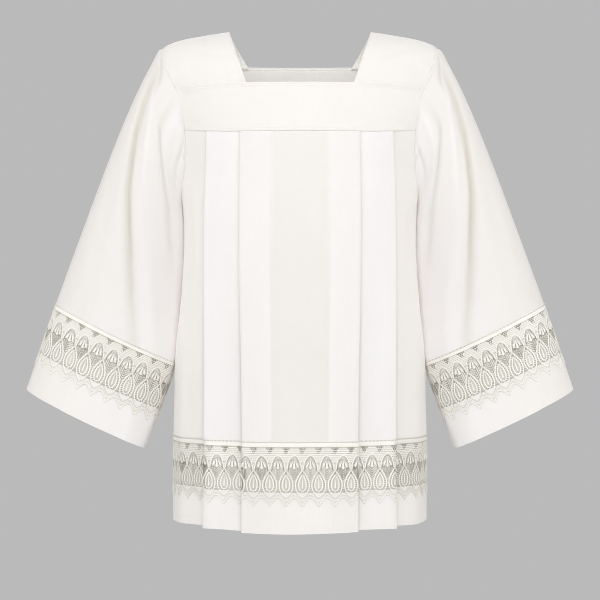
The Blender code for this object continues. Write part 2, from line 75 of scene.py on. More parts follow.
# %% [markdown]
# The camera looks level at the front from 2.55 m, at the height of the chest. Big soft lights stand
# round it, so that white cloth keeps its faint shadows.
# The floor is a pale disc well below the garment, which hangs from its shoulders.

# %% Camera, light and floor
scene = bpy.context.scene
scene.view_settings.view_transform = "Standard"
scene.cycles.filter_width = 1.0  # threads are thin, so their edges are kept crisp
CAMERA = {"place": (0.0, -2.55, -0.438), "view": 21.84}  # metres and degrees
BACKDROP = 0.491  # the grey behind the garment
LIGHTS = table("name at wide watts", [  # where each lamp stands, how wide it is, and its power
    ("front_box", (0.0, -2.7, 0.9), 2.4, 39.5),
    ("left_box", (2.6, -1.5, 0.5), 1.8, 22.5),
    ("right_box", (-2.6, -1.5, 0.5), 1.8, 22.5),
    ("back_box", (0.0, 2.8, 1.2), 2.2, 40.0),
])
LIGHTS_AIM = Vector((0, 0, -0.42))
FLOOR = {"height": -1.45, "radius": 2.3, "grey": 0.72, "sides": 96}


def studio():
    view = bpy.data.cameras.new("camera")
    view.lens_unit = "FOV"
    view.angle = radians(CAMERA["view"])
    eye = bpy.data.objects.new("camera", view)
    eye.location = CAMERA["place"]
    eye.rotation_euler = (pi / 2, 0, 0)
    scene.collection.objects.link(eye)
    scene.camera = eye
    scene.world = bpy.data.worlds.new("studio")
    scene.world.use_nodes = True
    grey = scene.world.node_tree.nodes["Background"].inputs["Color"]
    grey.default_value = (BACKDROP, BACKDROP, BACKDROP, 1)
    for row in LIGHTS:
        lamp = bpy.data.lights.new(row["name"], "AREA")
        lamp.size, lamp.energy = row["wide"], row["watts"]
        stand = bpy.data.objects.new(row["name"], lamp)
        stand.location = row["at"]
        way = LIGHTS_AIM - Vector(row["at"])
        stand.rotation_euler = way.to_track_quat("-Z", "Y").to_euler()
        scene.collection.objects.link(stand)


studio()

# %% [markdown]
# Most pieces are grids: rows of points that run down the cloth, each row as long as the others.
# One helper turns such a grid into a mesh, with a UV map in metres along the cloth, so a weave
# has one scale on every piece. Solidify then gives the sheet its thickness on both sides.

# %% Grids of cloth
THIN = 0.6 * MM  # one layer of fine cotton with its finish
DOUBLED = 1.0 * MM


def running(points):
    """The length along each row of a grid, from the row's first point."""
    steps = np.linalg.norm(np.diff(points, axis=1), axis=2)
    return np.concatenate([np.zeros((len(points), 1)), np.cumsum(steps, axis=1)], axis=1)


def sheet_mesh(name, points, ring=False, outward=1, layers=1.0):
    """A mesh from a grid of points. A ring joins each row's end to its start."""
    rows, columns = points.shape[:2]
    across = running(points)
    across -= across[:, columns // 2, None]
    down = running(points.transpose(1, 0, 2)).T
    index = np.arange(rows * columns).reshape(rows, columns)
    after = np.roll(index, -1, axis=1)
    if not ring:
        index, after = index[:, :-1], after[:, :-1]
    quads = np.stack([index[:-1], after[:-1], after[1:], index[1:]], axis=-1).reshape(-1, 4)
    if outward < 0:
        quads = quads[:, ::-1]
    mesh = bpy.data.meshes.new(name)
    mesh.from_pydata(points.reshape(-1, 3).tolist(), [], quads.tolist())
    corner_uv = np.stack([across, -down], axis=-1).reshape(-1, 2)[quads]
    if ring:  # the last face of a row runs on instead of back to the start
        column = quads % columns
        wraps = column.max(axis=1) - column.min(axis=1) > columns // 2
        step = across[:, -1] + np.linalg.norm(points[:, 0] - points[:, -1], axis=1) - across[:, 0]
        corner_uv[..., 0] += np.where(wraps[:, None] & (column == 0), step[quads // columns], 0)
    uv = mesh.uv_layers.new(name="cloth")
    uv.data.foreach_set("uv", corner_uv.astype(np.float32).ravel())
    # how white the cloth is, from its thicknesses with painted light and shade, for the shader
    counts = np.broadcast_to(layers, (rows, columns)).astype(np.float32).ravel()
    mesh.attributes.new("layers", "FLOAT", "POINT").data.foreach_set("value", counts)
    mesh.shade_smooth()
    return mesh


def put(name, mesh, material):
    """A finished piece at the origin, on the body, in its material."""
    piece = bpy.data.objects.new(name, mesh)
    scene.collection.objects.link(piece)
    mesh.materials.clear()
    mesh.materials.append(material)
    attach(piece, "root")
    return piece


def wall(piece, thickness):
    made = piece.modifiers.new("wall", "SOLIDIFY")
    made.thickness, made.offset = thickness, 0.0
    return piece


def cloth_piece(name, points, thickness, **grid):
    """A sheet of white cotton, laid over a grid of points."""
    return wall(put(name, sheet_mesh(name, points, **grid), cotton), thickness)


def spread(lengths):
    """The least and the greatest of some lengths, for printing."""
    return "%.3f to %.3f m" % (lengths.min(), lengths.max())


def tell(piece, *words):
    print(piece.name, *words, triangles(piece), "triangles")


def triangles(piece):
    used = piece.evaluated_get(bpy.context.evaluated_depsgraph_get())
    mesh = used.to_mesh()
    mesh.calc_loop_triangles()
    count = len(mesh.loop_triangles)
    used.to_mesh_clear()
    return count


# %% [markdown]
# A material's maths reads best as a formula. This small class wraps a socket, so that an
# expression such as noise * 2 - 1 adds its own Math nodes, and one method makes any other node.

# %% Shader formulas
class Value:
    """A socket of a material's tree that can be used in a formula."""

    def __init__(self, tree, socket):
        self.tree, self.socket = tree, socket

    def join(self, made, inputs):
        """Gives a node's sockets their values or links."""
        for key, value in inputs.items():
            if isinstance(value, Value):
                self.tree.links.new(value.socket, made.inputs[key])
            else:
                made.inputs[key].default_value = value

    def node(self, kind, settings, inputs, output=0):
        """Any node, with its settings and its sockets' values or links."""
        made = self.tree.nodes.new(kind)
        for key, setting in settings.items():
            setattr(made, key, setting)
        self.join(made, inputs)
        return Value(self.tree, made.outputs[output])

    def maths(self, operation, *others):
        values = dict(enumerate((self, *others)))
        return self.node("ShaderNodeMath", {"operation": operation}, values)

    def clamped(self, most=1.0):
        return self.maths("MINIMUM", most).maths("MAXIMUM", 0.0)

    def part(self, axis):
        return self.node("ShaderNodeSeparateXYZ", {}, {0: self}, axis)

    def noise(self, place, scale, detail):
        sockets = {"Vector": place, "Scale": scale, "Detail": detail}
        return self.node("ShaderNodeTexNoise", {}, sockets)

    def attribute(self, name):
        return self.node("ShaderNodeAttribute", {"attribute_name": name}, {}, 2)

    def place(self):
        return self.node("ShaderNodeTexCoord", {}, {}, 3)

    def mixed(self, low, high, clamp=True):
        """The colour that lies this share of the way from one to another."""
        low, high = (end if isinstance(end, Value) else (*end, 1) for end in (low, high))
        return self.node("ShaderNodeMix", {"data_type": "RGBA", "clamp_factor": clamp},
                         {0: self, 6: low, 7: high}, 2)

    def __add__(self, other):
        return self.maths("ADD", other)

    def __sub__(self, other):
        return self.maths("SUBTRACT", other)

    def __mul__(self, other):
        return self.maths("MULTIPLY", other)


def finish(name, roughness, sheen, paint, see_through=0.0):
    """A material. Paint is a function that makes the nodes and returns a colour, a height, how
    deep that is, and perhaps a painted glow that stands in for light through the cloth."""
    made = bpy.data.materials.new(name)
    made.use_nodes = True
    start = Value(made.node_tree, None)
    colour, height, depth, *through = paint(start)
    bump = start.node("ShaderNodeBump", {},
                      {"Height": height, "Distance": depth, "Strength": 1.0})
    sockets = {"Base Color": colour, "Normal": bump, "Roughness": roughness,
               "Specular IOR Level": 0.25, "Sheen Weight": sheen, "Sheen Roughness": 0.5,
               "Subsurface Weight": see_through, "Subsurface Scale": 1.5 * MM,
               "Subsurface Radius": (1.0, 1.0, 1.0)}
    # the painted glow
    if through:
        sockets.update({"Emission Color": through[0], "Emission Strength": 1.0})
    start.join(made.node_tree.nodes["Principled BSDF"], sockets)
    return made


# %% [markdown]
# The cloth is fine white cotton in plain weave: threads cross two to the millimetre, and a few are
# thicker, which shows as faint streaks along and across. Where pleats lie three deep the white is
# a little fuller than where one layer lets the dark inside show through. The same value also
# carries painted shade, in creases, beside pleat edges and inside pleats, and painted light where
# the lamps reach a part less.

# %% White cotton
THREAD = 0.55 * MM  # from one thread to the next
STREAKS = {"across": (16.0, 900.0, 1.0), "down": (900.0, 14.0, 1.0), "mottle": (9.0, 7.0, 3.0)}
UNEVEN = {"mottle": 0.14, "slubs": 0.06}  # how much each changes the white
BUMPS = {"weave": 0.5, "slubs": 1.2, "mottle": 3.0}  # and the height
COTTON = {"sunk": (0.690, 0.657, 0.570), "full": (0.945, 0.912, 0.895)}  # painted shade, in a fold, and three deep
INSIDE_SHADE_AND_LIGHT = {"low": (0.46, 0.44, 0.37), "neck": (1.0, 0.985, 0.955)}  # painted shade inside, behind the lace, and painted light inside the neck
LOW_INSIDE_SHADE = {"down": 0.44, "grows": -25}  # where below the shoulders the painted shade starts, and how fast
# how far below the shoulders the painted light in the neck reaches, and how fast it fades
NECK_INSIDE_LIGHT = {"down": 0.16, "grows": 40}
NECK_GLOW = (0.050, 0.045, 0.034)  # a painted glow in the neck, standing in for light through the thin cloth


def cotton_paint(start):
    uv = start.node("ShaderNodeUVMap", {"uv_map": "cloth"}, {})
    warp, weft = ((uv.part(axis) * (pi / THREAD)).maths("SINE") for axis in (0, 1))

    def streaks(kind):
        across, down, detail = STREAKS[kind]
        scaled = start.node("ShaderNodeMapping", {}, {"Vector": uv, "Scale": (across, down, 1)})
        return start.noise(scaled, 1.0, detail)

    slubs, mottle = streaks("down") + streaks("across"), streaks("mottle")
    fullness_and_light = (start.attribute("layers") + 3) * (1 / 6)  # three thicknesses come to 1, and painted light and shade ride on the same value
    fullness_and_light = fullness_and_light + (mottle - 0.5) * UNEVEN["mottle"] + (slubs - 1) * UNEVEN["slubs"]

    # A face looks inwards where its normal points to the middle of the garment, front or back. Low
    # down such faces are painted dark, as shade behind the lace, and in the neck they are painted
    # lighter.
    place = start.place()
    normal = start.node("ShaderNodeNewGeometry", {}, {}, 3)  # of the face itself, not smoothed
    inwards = (place.part(1).maths("SIGN") * normal.part(1) * -3).clamped()
    low, high = (((place.part(2) + zone["down"]) * zone["grows"]).clamped() * inwards
                 for zone in (LOW_INSIDE_SHADE, NECK_INSIDE_LIGHT))
    colour = fullness_and_light.clamped(1.15).mixed(COTTON["sunk"], COTTON["full"], clamp=False)
    colour = low.mixed(high.mixed(colour, INSIDE_SHADE_AND_LIGHT["neck"]), INSIDE_SHADE_AND_LIGHT["low"])
    # painted glow: the neck's inner side glows a little, as if lit through the cloth
    through = high.mixed((0, 0, 0), NECK_GLOW)
    height = warp * weft * BUMPS["weave"] + slubs * BUMPS["slubs"] + mottle * BUMPS["mottle"]
    return colour, height, 0.08 * MM, through


cotton = finish("white_cotton", roughness=0.82, sheen=0.06, paint=cotton_paint, see_through=0.35)
# The thread's white, and the colour that painted shade darkens it towards
THREAD_WHITE, THREAD_IN_SHADE = (0.965, 0.945, 0.890), (0.195, 0.180, 0.115)


def thread_paint(start):
    place = start.place()
    # Painted shade: lace that lies in a pleat or on a side panel, and the charted shade of low
    # threads, dents, the net and the lace's inner side. The noise is random tone.
    dark = start.attribute("tucked") + start.attribute("shade")
    dark = dark + start.noise(place, 40.0, 2.0) * 0.06
    return dark.mixed(THREAD_WHITE, THREAD_IN_SHADE), start.noise(place, 1400.0, 2.0), 0.12 * MM


thread = finish("lace_thread", roughness=0.75, sheen=0.08, paint=thread_paint)

# %% [markdown]
# The floor isn't part of the garment, so it isn't attached to the garment's body.

# %% Floor
def floor_paint(start):
    grain = start.noise(start.place(), 60.0, 2.0)
    low, high = ([FLOOR["grey"] * part] * 3 for part in (0.985, 1.0))
    return grain.mixed(low, high), grain, 0.1 * MM


def make_floor():
    turns = np.linspace(0, 2 * pi, FLOOR["sides"], endpoint=False)
    rim = [(FLOOR["radius"] * cos(t), FLOOR["radius"] * sin(t), FLOOR["height"]) for t in turns]
    mesh = bpy.data.meshes.new("floor")
    mesh.from_pydata(rim, [], [list(range(len(rim)))])
    mesh.materials.append(finish("floor_paper", roughness=0.9, sheen=0.0, paint=floor_paint))
    piece = bpy.data.objects.new("floor", mesh)
    scene.collection.objects.link(piece)


make_floor()

# %% [markdown]
# The body, seen from above, is a rounded box: a superellipse whose width and depth change with the
# height. Above the armpits it is cut off by the armholes. Each height is worked out from the
# maker's table. Between the table's rows the sizes run on smooth curves.

# %% The body's outline
ROUNDNESS = 2.3
HEM_Z = -0.8000
OUTLINE_STEPS = 400
# Half the width, and the depth of the side panels' curve to the front and to the back.
BODY = table("z width front back", [
    (-0.1220, 0.1948, 0.1120, 0.0990),
    (-0.1720, 0.1948, 0.1158, 0.1005),
    (-0.2576, 0.1948, 0.1150, 0.1030),
    (-0.2937, 0.1909, 0.1155, 0.1030),
    (-0.3347, 0.1891, 0.1160, 0.1020),
    (-0.3839, 0.1907, 0.1165, 0.1010),
    (-0.4446, 0.1952, 0.1170, 0.1010),
    (-0.5134, 0.2029, 0.1180, 0.1030),
    (-0.6118, 0.2060, 0.1200, 0.1070),
    (-0.8000, 0.2070, 0.1250, 0.1160),
])
ARMHOLE_TOP_Z, ARMPIT_Z = -0.0280, -0.2576
ARMHOLE_DEPTH = {"front": 0.070, "back": 0.066}
ARMHOLE = table("z front back", [  # how far out the armhole's seam lies
    (-0.0280, 0.2255, 0.2255),
    (-0.0585, 0.2164, 0.2150),
    (-0.0858, 0.2049, 0.2060),
    (-0.1069, 0.1937, 0.2010),
    (-0.1440, 0.1888, 0.1960),
    (-0.1720, 0.1862, 0.1930),
    (-0.2089, 0.1841, 0.1905),
    (-0.2379, 0.1880, 0.1915),
    (-0.2576, 0.1948, 0.1948),
])


def read(table, column, at, key="z"):
    """A column's value between the table's rows, on a smooth curve through them."""
    rows = sorted(table, key=lambda row: row[key])
    xs = np.array([row[key] for row in rows])
    ys = np.array([row[column] for row in rows])
    slopes = np.gradient(ys, xs)
    at = np.clip(at, xs[0], xs[-1])
    i = np.clip(np.searchsorted(xs, at) - 1, 0, len(xs) - 2)
    gap = xs[i + 1] - xs[i]
    return smooth((at - xs[i]) / gap, ys[i], ys[i + 1], slopes[i], slopes[i + 1], gap)


def armhole_share(z):
    """The share of the way down the armhole, from the shoulder to the armpit."""
    return (ARMHOLE_TOP_Z - z) / (ARMHOLE_TOP_Z - ARMPIT_Z)


def armhole_depth(face, share):
    return ARMHOLE_DEPTH[face] * 2 * np.sqrt(unit(share * (1 - share)))


def armhole_points(face, share):
    """Points of the +X armhole, as rows of x, y, z."""
    share = np.asarray(share, float)
    z = ARMHOLE_TOP_Z + (ARMPIT_Z - ARMHOLE_TOP_Z) * share
    return np.stack([read(ARMHOLE, face, z), OUT[face] * armhole_depth(face, share), z], axis=-1)


class Outline:
    """Half of the body's outline at one height, measured in metres from the middle of a face."""

    def __init__(self, face, z, depth=None):
        self.face, self.z = face, z
        self.depth = depth or float(read(BODY, face, z))
        self.width = float(read(BODY, "width", z))
        last = pi / 2
        if z > ARMPIT_Z:
            edge = armhole_points(face, armhole_share(z))
            reach = (1 - (abs(edge[1]) / self.depth) ** ROUNDNESS) ** (1 / ROUNDNESS)
            self.width = edge[0] / reach
            last = self.turn_at(edge[0])
        self.turns = np.linspace(0, last, OUTLINE_STEPS)
        line = self.spot(self.turns)
        steps = np.hypot(*np.diff(line, axis=0).T[:2])
        self.lengths = np.concatenate([[0], np.cumsum(steps)])
        self.length = self.lengths[-1]

    def turn_at(self, x):
        return float(np.arcsin(min(1.0, x / self.width) ** (ROUNDNESS / 2)))

    def length_at(self, x):
        return float(np.interp(self.turn_at(x), self.turns, self.lengths))

    def spot(self, turn):
        power = 2 / ROUNDNESS
        across, deep = unit(np.sin(turn)) ** power, unit(np.cos(turn)) ** power
        return np.stack([self.width * across, OUT[self.face] * self.depth * deep,
                         np.full_like(across, self.z)], axis=-1)

    def at(self, length):
        """Points, the way out of the cloth, and the way along it, at lengths from the middle."""
        points = self.spot(np.interp(length, self.lengths, self.turns))
        power = ROUNDNESS - 1
        out_x = np.abs(points[..., 0] / self.width) ** power / self.width
        out_y = OUT[self.face] * np.abs(points[..., 1] / self.depth) ** power / self.depth
        size = np.hypot(out_x, out_y)
        out = np.stack([out_x / size, out_y / size, np.zeros_like(size)], axis=-1)
        turned = [np.abs(out[..., 1]), -OUT[self.face] * out[..., 0], np.zeros_like(size)]
        along = np.stack(turned, axis=-1)
        return points, out, along


print("round the hem:", round(2 * sum(Outline(face, HEM_Z).length for face in OUT), 3), "m")

# %% [markdown]
# Each face has four pressed pleats, two on each side of the middle, with their edges pointing
# outwards. From the middle, the cloth runs out to an edge, doubles back out of sight, turns, runs
# out again below the first layer, and so on to the side seam. So one sheet follows one path
# of flat runs and tight bends. Drawing the path once gives the cloth, the hem and the lace.

# %% Pleats
# From the middle: an edge is where a pleat shows, a turn is where its cloth doubles back.
PLEATS = table("z edge_1 turn_1 edge_2 turn_2 under over", [
    (-0.1220, 0.0935, 0.0440, 0.1460, 0.1060, 0.0006, 0.0010),
    (-0.1720, 0.0932, 0.0440, 0.1467, 0.1064, 0.0006, 0.0010),
    (-0.2576, 0.0926, 0.0440, 0.1478, 0.1072, 0.0018, 0.0026),
    (-0.6500, 0.0862, 0.0440, 0.1462, 0.1060, 0.0030, 0.0058),
    (-0.8000, 0.0858, 0.0440, 0.1470, 0.1070, 0.0030, 0.0062),
])
MARKS = ["turn_1", "edge_1", "turn_2", "edge_2"]  # mark 0 is the middle and mark 5 the side seam
# The path from the middle to the side: each run's marks, its height in pleat steps, and whether it
# lies folded under below that height, where it is painted in shade. A bend lies at one mark and
# folds outwards or inwards.
PATH = [
    {"name": "middle", "from": 0, "to": 2, "high": 2, "tucked": 0},
    {"name": "edge_1", "mark": 2, "high": 2, "fold": 1},
    {"name": "under_1", "from": 2, "to": 1, "high": 2, "tucked": 1},
    {"name": "turn_1", "mark": 1, "high": 2, "fold": -1},
    {"name": "second", "from": 1, "to": 4, "high": 1, "tucked": 0},
    {"name": "edge_2", "mark": 4, "high": 1, "fold": 1},
    {"name": "under_2", "from": 4, "to": 3, "high": 1, "tucked": 1},
    {"name": "turn_2", "mark": 3, "high": 1, "fold": -1},
    {"name": "side", "from": 3, "to": 5, "high": 0, "tucked": 0},
]
BELOW = {"second": 2, "side": 4}  # the mark of the edge that lies over a run
MORE_LAYERS_AND_LIGHT = {"middle": 1.6, "second": 2.3, "side": 0.5}  # the hidden cloth's share of the white, raised or lowered as painted light
FADE = 2.5 * MM
EDGE_SHADOW = {"second": 4.4, "side": 4.2, "reach": 2.8 * MM}  # painted shadow that an edge casts on the cloth beside it
BESIDE = np.array([0.2, 0.9, 1.8, 2.9, 4.3, 6.2, 9.0]) * MM  # more columns there, for the painted shadow
PLEAT_INSIDE_SHADE = -1.5  # painted shade: the cloth inside a pleat is painted dark
# The relief fades beside the side seam over this width, more and more below the armpit.
SIDE_SEAM = {"wide": 14 * MM, "grows": 50 * MM, "near": 1.0 * MM, "gap": 0.1 * MM}
DRAWN_UP = {"from": -0.60, "by": [5.0 * MM, 1.8 * MM, 0.0]}  # the side, second and middle pleats
CLOTH_SPACING = {"middle": 20, "under_1": 9, "second": 28, "under_2": 9, "side": 38, "bend": 5}


def layers_and_shadow_at(marks, name, length):
    """How many thicknesses of cloth lie at a place of an upper run, faded over its borders, with
    painted light, less a painted shadow beside the edge that lies over it.
    """
    more = np.full_like(length, MORE_LAYERS_AND_LIGHT.get(name, 0.0))
    if name == "middle":
        more *= unit((length - marks[1]) / FADE + 0.5) * unit((marks[2] - length) / FADE + 0.5)
    if name in BELOW:
        beside = np.clip(length - marks[BELOW[name]], 0, None)
        more -= EDGE_SHADOW[name] * np.exp(-beside / EDGE_SHADOW["reach"])
    return 1 + more


def pleated_half(face, z, spacing, relief, lift=0.0):
    """Half a row of pleated cloth: points, and how white each is, from the cloth below with painted
    light and shade. Spacing is the columns of runs and bends.
    """
    outline = Outline(face, z)
    under, over = float(read(PLEATS, "under", z)), float(read(PLEATS, "over", z))
    inner = [outline.length_at(float(read(PLEATS, mark, z))) for mark in MARKS]
    marks = [0.0] + inner + [outline.length]
    step = under + over
    sewn = unit((ARMPIT_Z - z) / SIDE_SEAM["grows"])

    def free(length):
        """The share of its relief that the cloth keeps near the side seam."""
        return 1 - sewn * np.exp(-(((outline.length - length) / SIDE_SEAM["wide"]) ** 2))

    rows, counts, highs = [], [], []
    for part in PATH:
        if "mark" in part:
            length = np.full(spacing["bend"], marks[part["mark"]])
            angle = pi * np.arange(1, spacing["bend"] + 1)[:, None] / (spacing["bend"] + 1)
            points, out, along = outline.at(length)
            spoke = out * np.cos(angle) + part["fold"] * along * np.sin(angle)
            if part["fold"] > 0:
                off = out * (part["high"] * step - under / 2) + spoke * (under / 2 + lift)
            else:
                off = out * (part["high"] * step - under - over / 2) + spoke * (over / 2 - lift)
        else:
            extra = marks[BELOW[part["name"]]] + BESIDE if part["name"] in BELOW else []
            if part["name"] == "side":
                extra = np.append(extra, outline.length - SIDE_SEAM["near"])
            length = np.linspace(marks[part["from"]], marks[part["to"]],
                                 spacing[part["name"]] - len(extra))
            if len(extra):
                length = np.sort(np.concatenate([length, extra]))
            points, out, _ = outline.at(length)
            tuck = -under - lift if part["tucked"] else lift
            off = out * (part["high"] * step + tuck)
        rows.append(points + off + out * (relief(face, length, z) * free(length))[:, None])
        # the runs inside a pleat get painted shade
        hidden = part["name"].startswith(("under", "turn"))
        counts.append(np.full(len(length), PLEAT_INSIDE_SHADE) if hidden
                      else layers_and_shadow_at(marks, part["name"], length))
        highs.append(np.full(len(length), part["high"]))
    points, counts = np.concatenate(rows), np.concatenate(counts)
    fall = unit((z - DRAWN_UP["from"]) / (HEM_Z - DRAWN_UP["from"])) ** 1.5
    points[:, 2] += fall * np.array(DRAWN_UP["by"])[np.concatenate(highs)]
    if z < ARMPIT_Z:
        points[-1, 1] = OUT[face] * SIDE_SEAM["gap"]
    return points, counts


def pleated(face, heights, spacing, relief, lift=0.0):
    """Rows of pleated cloth from side seam to side seam, and how white each point is, from the
    cloth below with painted light and shade.
    """
    whole, layers = [], []
    for z in heights:
        sides = {}
        for side in (-1, 1):
            points, counts = pleated_half(face, z, spacing, lambda *at: relief(*at, side), lift)
            sides[side] = points * (side, 1, 1)
        whole.append(np.concatenate([sides[-1][::-1], sides[1][1:]]))
        layers.append(np.concatenate([counts[::-1], counts[1:]]))
    return np.array(whole), np.array(layers)


# %% [markdown]
# Even a pressed robe isn't flat. The body's creases are long and soft: two hollows down the middle,
# ripples that grow towards the hem, and drags that run in from the armpits. Each is a line on the
# cloth with a width and a height, so that every layer of a pleat follows the same form.

# %% Creases of the body
# From and to are metres from the middle along the cloth, and Z. High is out of the cloth.
BODY_CREASES = table("face from to wide high", [
    ("front", (-0.012, -0.24), (-0.020, -0.66), 0.020, -0.0022),
    ("front", (0.020, -0.32), (0.012, -0.78), 0.022, -0.0020),
    ("front", (0.060, -0.40), (0.066, -0.80), 0.015, 0.0018),
    ("front", (-0.064, -0.36), (-0.058, -0.80), 0.016, 0.0018),
    ("front", (-0.118, -0.30), (-0.124, -0.80), 0.014, -0.0014),
    ("front", (0.120, -0.34), (0.122, -0.80), 0.014, -0.0015),
    ("front", (0.186, -0.25), (0.168, -0.44), 0.012, 0.0022),
    ("front", (-0.186, -0.25), (-0.170, -0.42), 0.012, 0.0022),
    ("front", (0.205, -0.46), (0.200, -0.80), 0.016, 0.0022),
    ("front", (-0.204, -0.48), (-0.202, -0.80), 0.016, 0.0022),
    ("back", (0.008, -0.22), (0.016, -0.70), 0.022, -0.0024),
    ("back", (-0.040, -0.36), (-0.046, -0.80), 0.018, 0.0020),
    ("back", (0.064, -0.34), (0.060, -0.80), 0.016, 0.0018),
    ("back", (0.122, -0.28), (0.126, -0.80), 0.015, -0.0016),
    ("back", (-0.120, -0.33), (-0.122, -0.80), 0.015, -0.0016),
    ("back", (0.182, -0.25), (0.164, -0.42), 0.013, 0.0022),
    ("back", (-0.182, -0.25), (-0.162, -0.44), 0.013, 0.0022),
])
CREASE_ENDS = 0.22  # the share of a crease's length over which it fades
SWAYS = table("high along down", [(0.0011, 41.0, 7.0), (0.00055, 94.3, -11.9)])  # long waves
SWAY_GROWS = {"from": -0.22, "over": 0.5}  # towards the hem
SWAY_TURN = {"front": 0.0, "back": 2.1}


def crease(x, z, row, open_end=False):
    """The height that one crease adds at places of the cloth, fading out at its ends."""
    start, end = np.array(row["from"]), np.array(row["to"])
    way = end - start
    length = np.hypot(*way)
    t = ((x - start[0]) * way[0] + (z - start[1]) * way[1]) / length**2
    away = ((x - start[0]) * way[1] - (z - start[1]) * way[0]) / length
    fade = unit(t / CREASE_ENDS)
    if not open_end:
        fade = fade * unit((1 - t) / CREASE_ENDS)
    fade = fade * fade * (3 - 2 * fade)
    return row["high"] * fade * np.exp(-((away / row["wide"]) ** 2))


def body_relief(face, length, z, side):
    """How far the creases and the sway lift the cloth at places along half a row."""
    x = side * length
    total = np.zeros_like(length)
    for row in BODY_CREASES:
        if row["face"] == face:
            total += crease(x, z, row, open_end=row["to"][1] == HEM_Z)
    grown = unit((SWAY_GROWS["from"] - z) / SWAY_GROWS["over"]) ** 1.5
    for row in SWAYS:
        wave = np.sin(row["along"] * x + row["down"] * z + SWAY_TURN[face])
        total += row["high"] * grown * wave
    return total


# %% [markdown]
# The two pleated breadths run from the yoke's seam down to where the lace covers their edge.
# The cut of each is a plain rectangle, far wider than the finished breadth, because every pleat
# takes up cloth that doesn't show.

# %% Pleated breadths
YOKE_SEAM_Z = {"front": -0.1720, "back": -0.1220}
LACE_TOP_Z, HEM_START_Z = -0.6575, -0.7335
HEADING = 0.0080  # how far the cloth runs on behind the lace's heading
BEHIND_YOKE = 2.0 * MM
SEAM_RISE_CLOTH = 5.5 * MM  # the seam with the yoke climbs a little towards the armholes
SEAM_RISES = {"from": 0.10, "over": 0.085, "down": 0.03}  # metres out, and down the cloth
PANEL_ROWS = {"front": 22, "back": 30, "below": 62}  # above the armpit and below it
ROWS_MEET_Z = -0.26
SEAM_HALF = 3.2 * MM  # from the armhole to the inner edge of its seam
EDGES = {(name, face): [] for name, _ in SIDES for face in OUT}  # what the armholes' seams follow


def keep_edge(name, face, points):
    """Keeps the rows' ends at an armhole, and places 3 mm further in, for the seam made later."""
    for line in points:
        steps = np.linalg.norm(np.diff(line[::-1], axis=0), axis=1)
        from_end = np.concatenate([[0], np.cumsum(steps)])
        EDGES[name, face].append((line[-1], on_line(SEAM_HALF, from_end, line[::-1])))


def keep_edges(face, points):
    for name, side in SIDES:
        keep_edge(name, face, points[:, ::side] * (side, 1, 1))


def side_rise(x):
    """From 0 to 1: how far a seam has climbed on its way from the middle to the armhole."""
    return unit((np.abs(x) - SEAM_RISES["from"]) / SEAM_RISES["over"]) ** 1.5


def make_panel(face):
    top = YOKE_SEAM_Z[face] + BEHIND_YOKE
    above = np.linspace(top, ROWS_MEET_Z, PANEL_ROWS[face], endpoint=False)
    below = np.linspace(ROWS_MEET_Z, LACE_TOP_Z - HEADING, PANEL_ROWS["below"])
    heights = np.concatenate([above, below])
    points, layers = pleated(face, heights, CLOTH_SPACING, body_relief)
    near_top = unit((points[..., 2] - top + SEAM_RISES["down"]) / SEAM_RISES["down"]) ** 2
    points[..., 2] += near_top * side_rise(points[..., 0]) * SEAM_RISE_CLOTH
    keep_edges(face, points[heights > ARMPIT_Z])
    piece = cloth_piece(face + "_breadth", points, THIN, outward=-OUT[face], layers=layers)
    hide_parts(face + "_panel")
    tell(piece, "cloth", spread(running(points)[:, -1]), "wide,")


for face in OUT:
    make_panel(face)

# %% [markdown]
# A yoke is a straight band of doubled cloth. Its edges are turned in and stitched down, so each
# edge is a little raised, with a groove where the thread pulls. Rows of points lie closer together
# there, because a fold of 1 mm needs points that are nearer than 1 mm.

# %% Bands and their edges
NECK_Z = {"front": -0.0948, "back": -0.0448}
STRAP_SEAM_Z = {"front": -0.1000, "back": -0.0600}  # where a strap's seam meets the armhole
YOKE = {"front": {"neck": 0.1030, "seam": 0.1194}, "back": {"neck": 0.0850, "seam": 0.1026}}
NECK_CORNER_X = {"front": 0.0850, "back": 0.0881}
EDGE = {"turned": 5.0 * MM, "raised": 0.55 * MM, "stitch": 3.8 * MM, "pull": 0.55 * MM,
        "thread": 0.7 * MM}
EDGE_STOPS = np.array([0, 0.7, 1.6, 2.6, 3.2, 3.8, 4.4, 5.2, 6.4, 8.0]) * MM


def edge_height(away):
    """The height of a turned and stitched edge, at distances from it."""
    raised = EDGE["raised"] * unit((EDGE["turned"] + MM - away) / MM)
    return raised - EDGE["pull"] * np.exp(-(((away - EDGE["stitch"]) / EDGE["thread"]) ** 2))


def edge_rows(length, middle):
    """Shares of the way from edge to edge, crowded at both edges."""
    stops = EDGE_STOPS / length
    inside = np.linspace(stops[-1], 1 - stops[-1], middle)[1:-1]
    return np.concatenate([stops, inside, 1 - stops[::-1]])


def grid_normals(points, ring=False):
    """The way out of each point of a grid, whichever way round its rows run."""
    down = np.gradient(points, axis=0)
    across = np.gradient(points, axis=1)
    if ring:
        across = np.roll(points, -1, axis=1) - np.roll(points, 1, axis=1)
    normals = np.cross(across, down)
    return normals / np.maximum(np.linalg.norm(normals, axis=2, keepdims=True), 1e-12)


def pucker(run, away, reach, pitch, high, seed):
    """Small uneven gathers beside a seam: run is how far along it, away is how far from it, both
    in metres. Reach, pitch and height are in millimetres."""
    reach, pitch, high = reach * MM, pitch * MM, high * MM
    turns = 2 * pi * run / pitch
    waves = np.sin(turns + seed) + 0.6 * np.sin(turns / 0.63 + 2.7 * seed)
    return high * waves * np.exp(-np.abs(away) / reach)


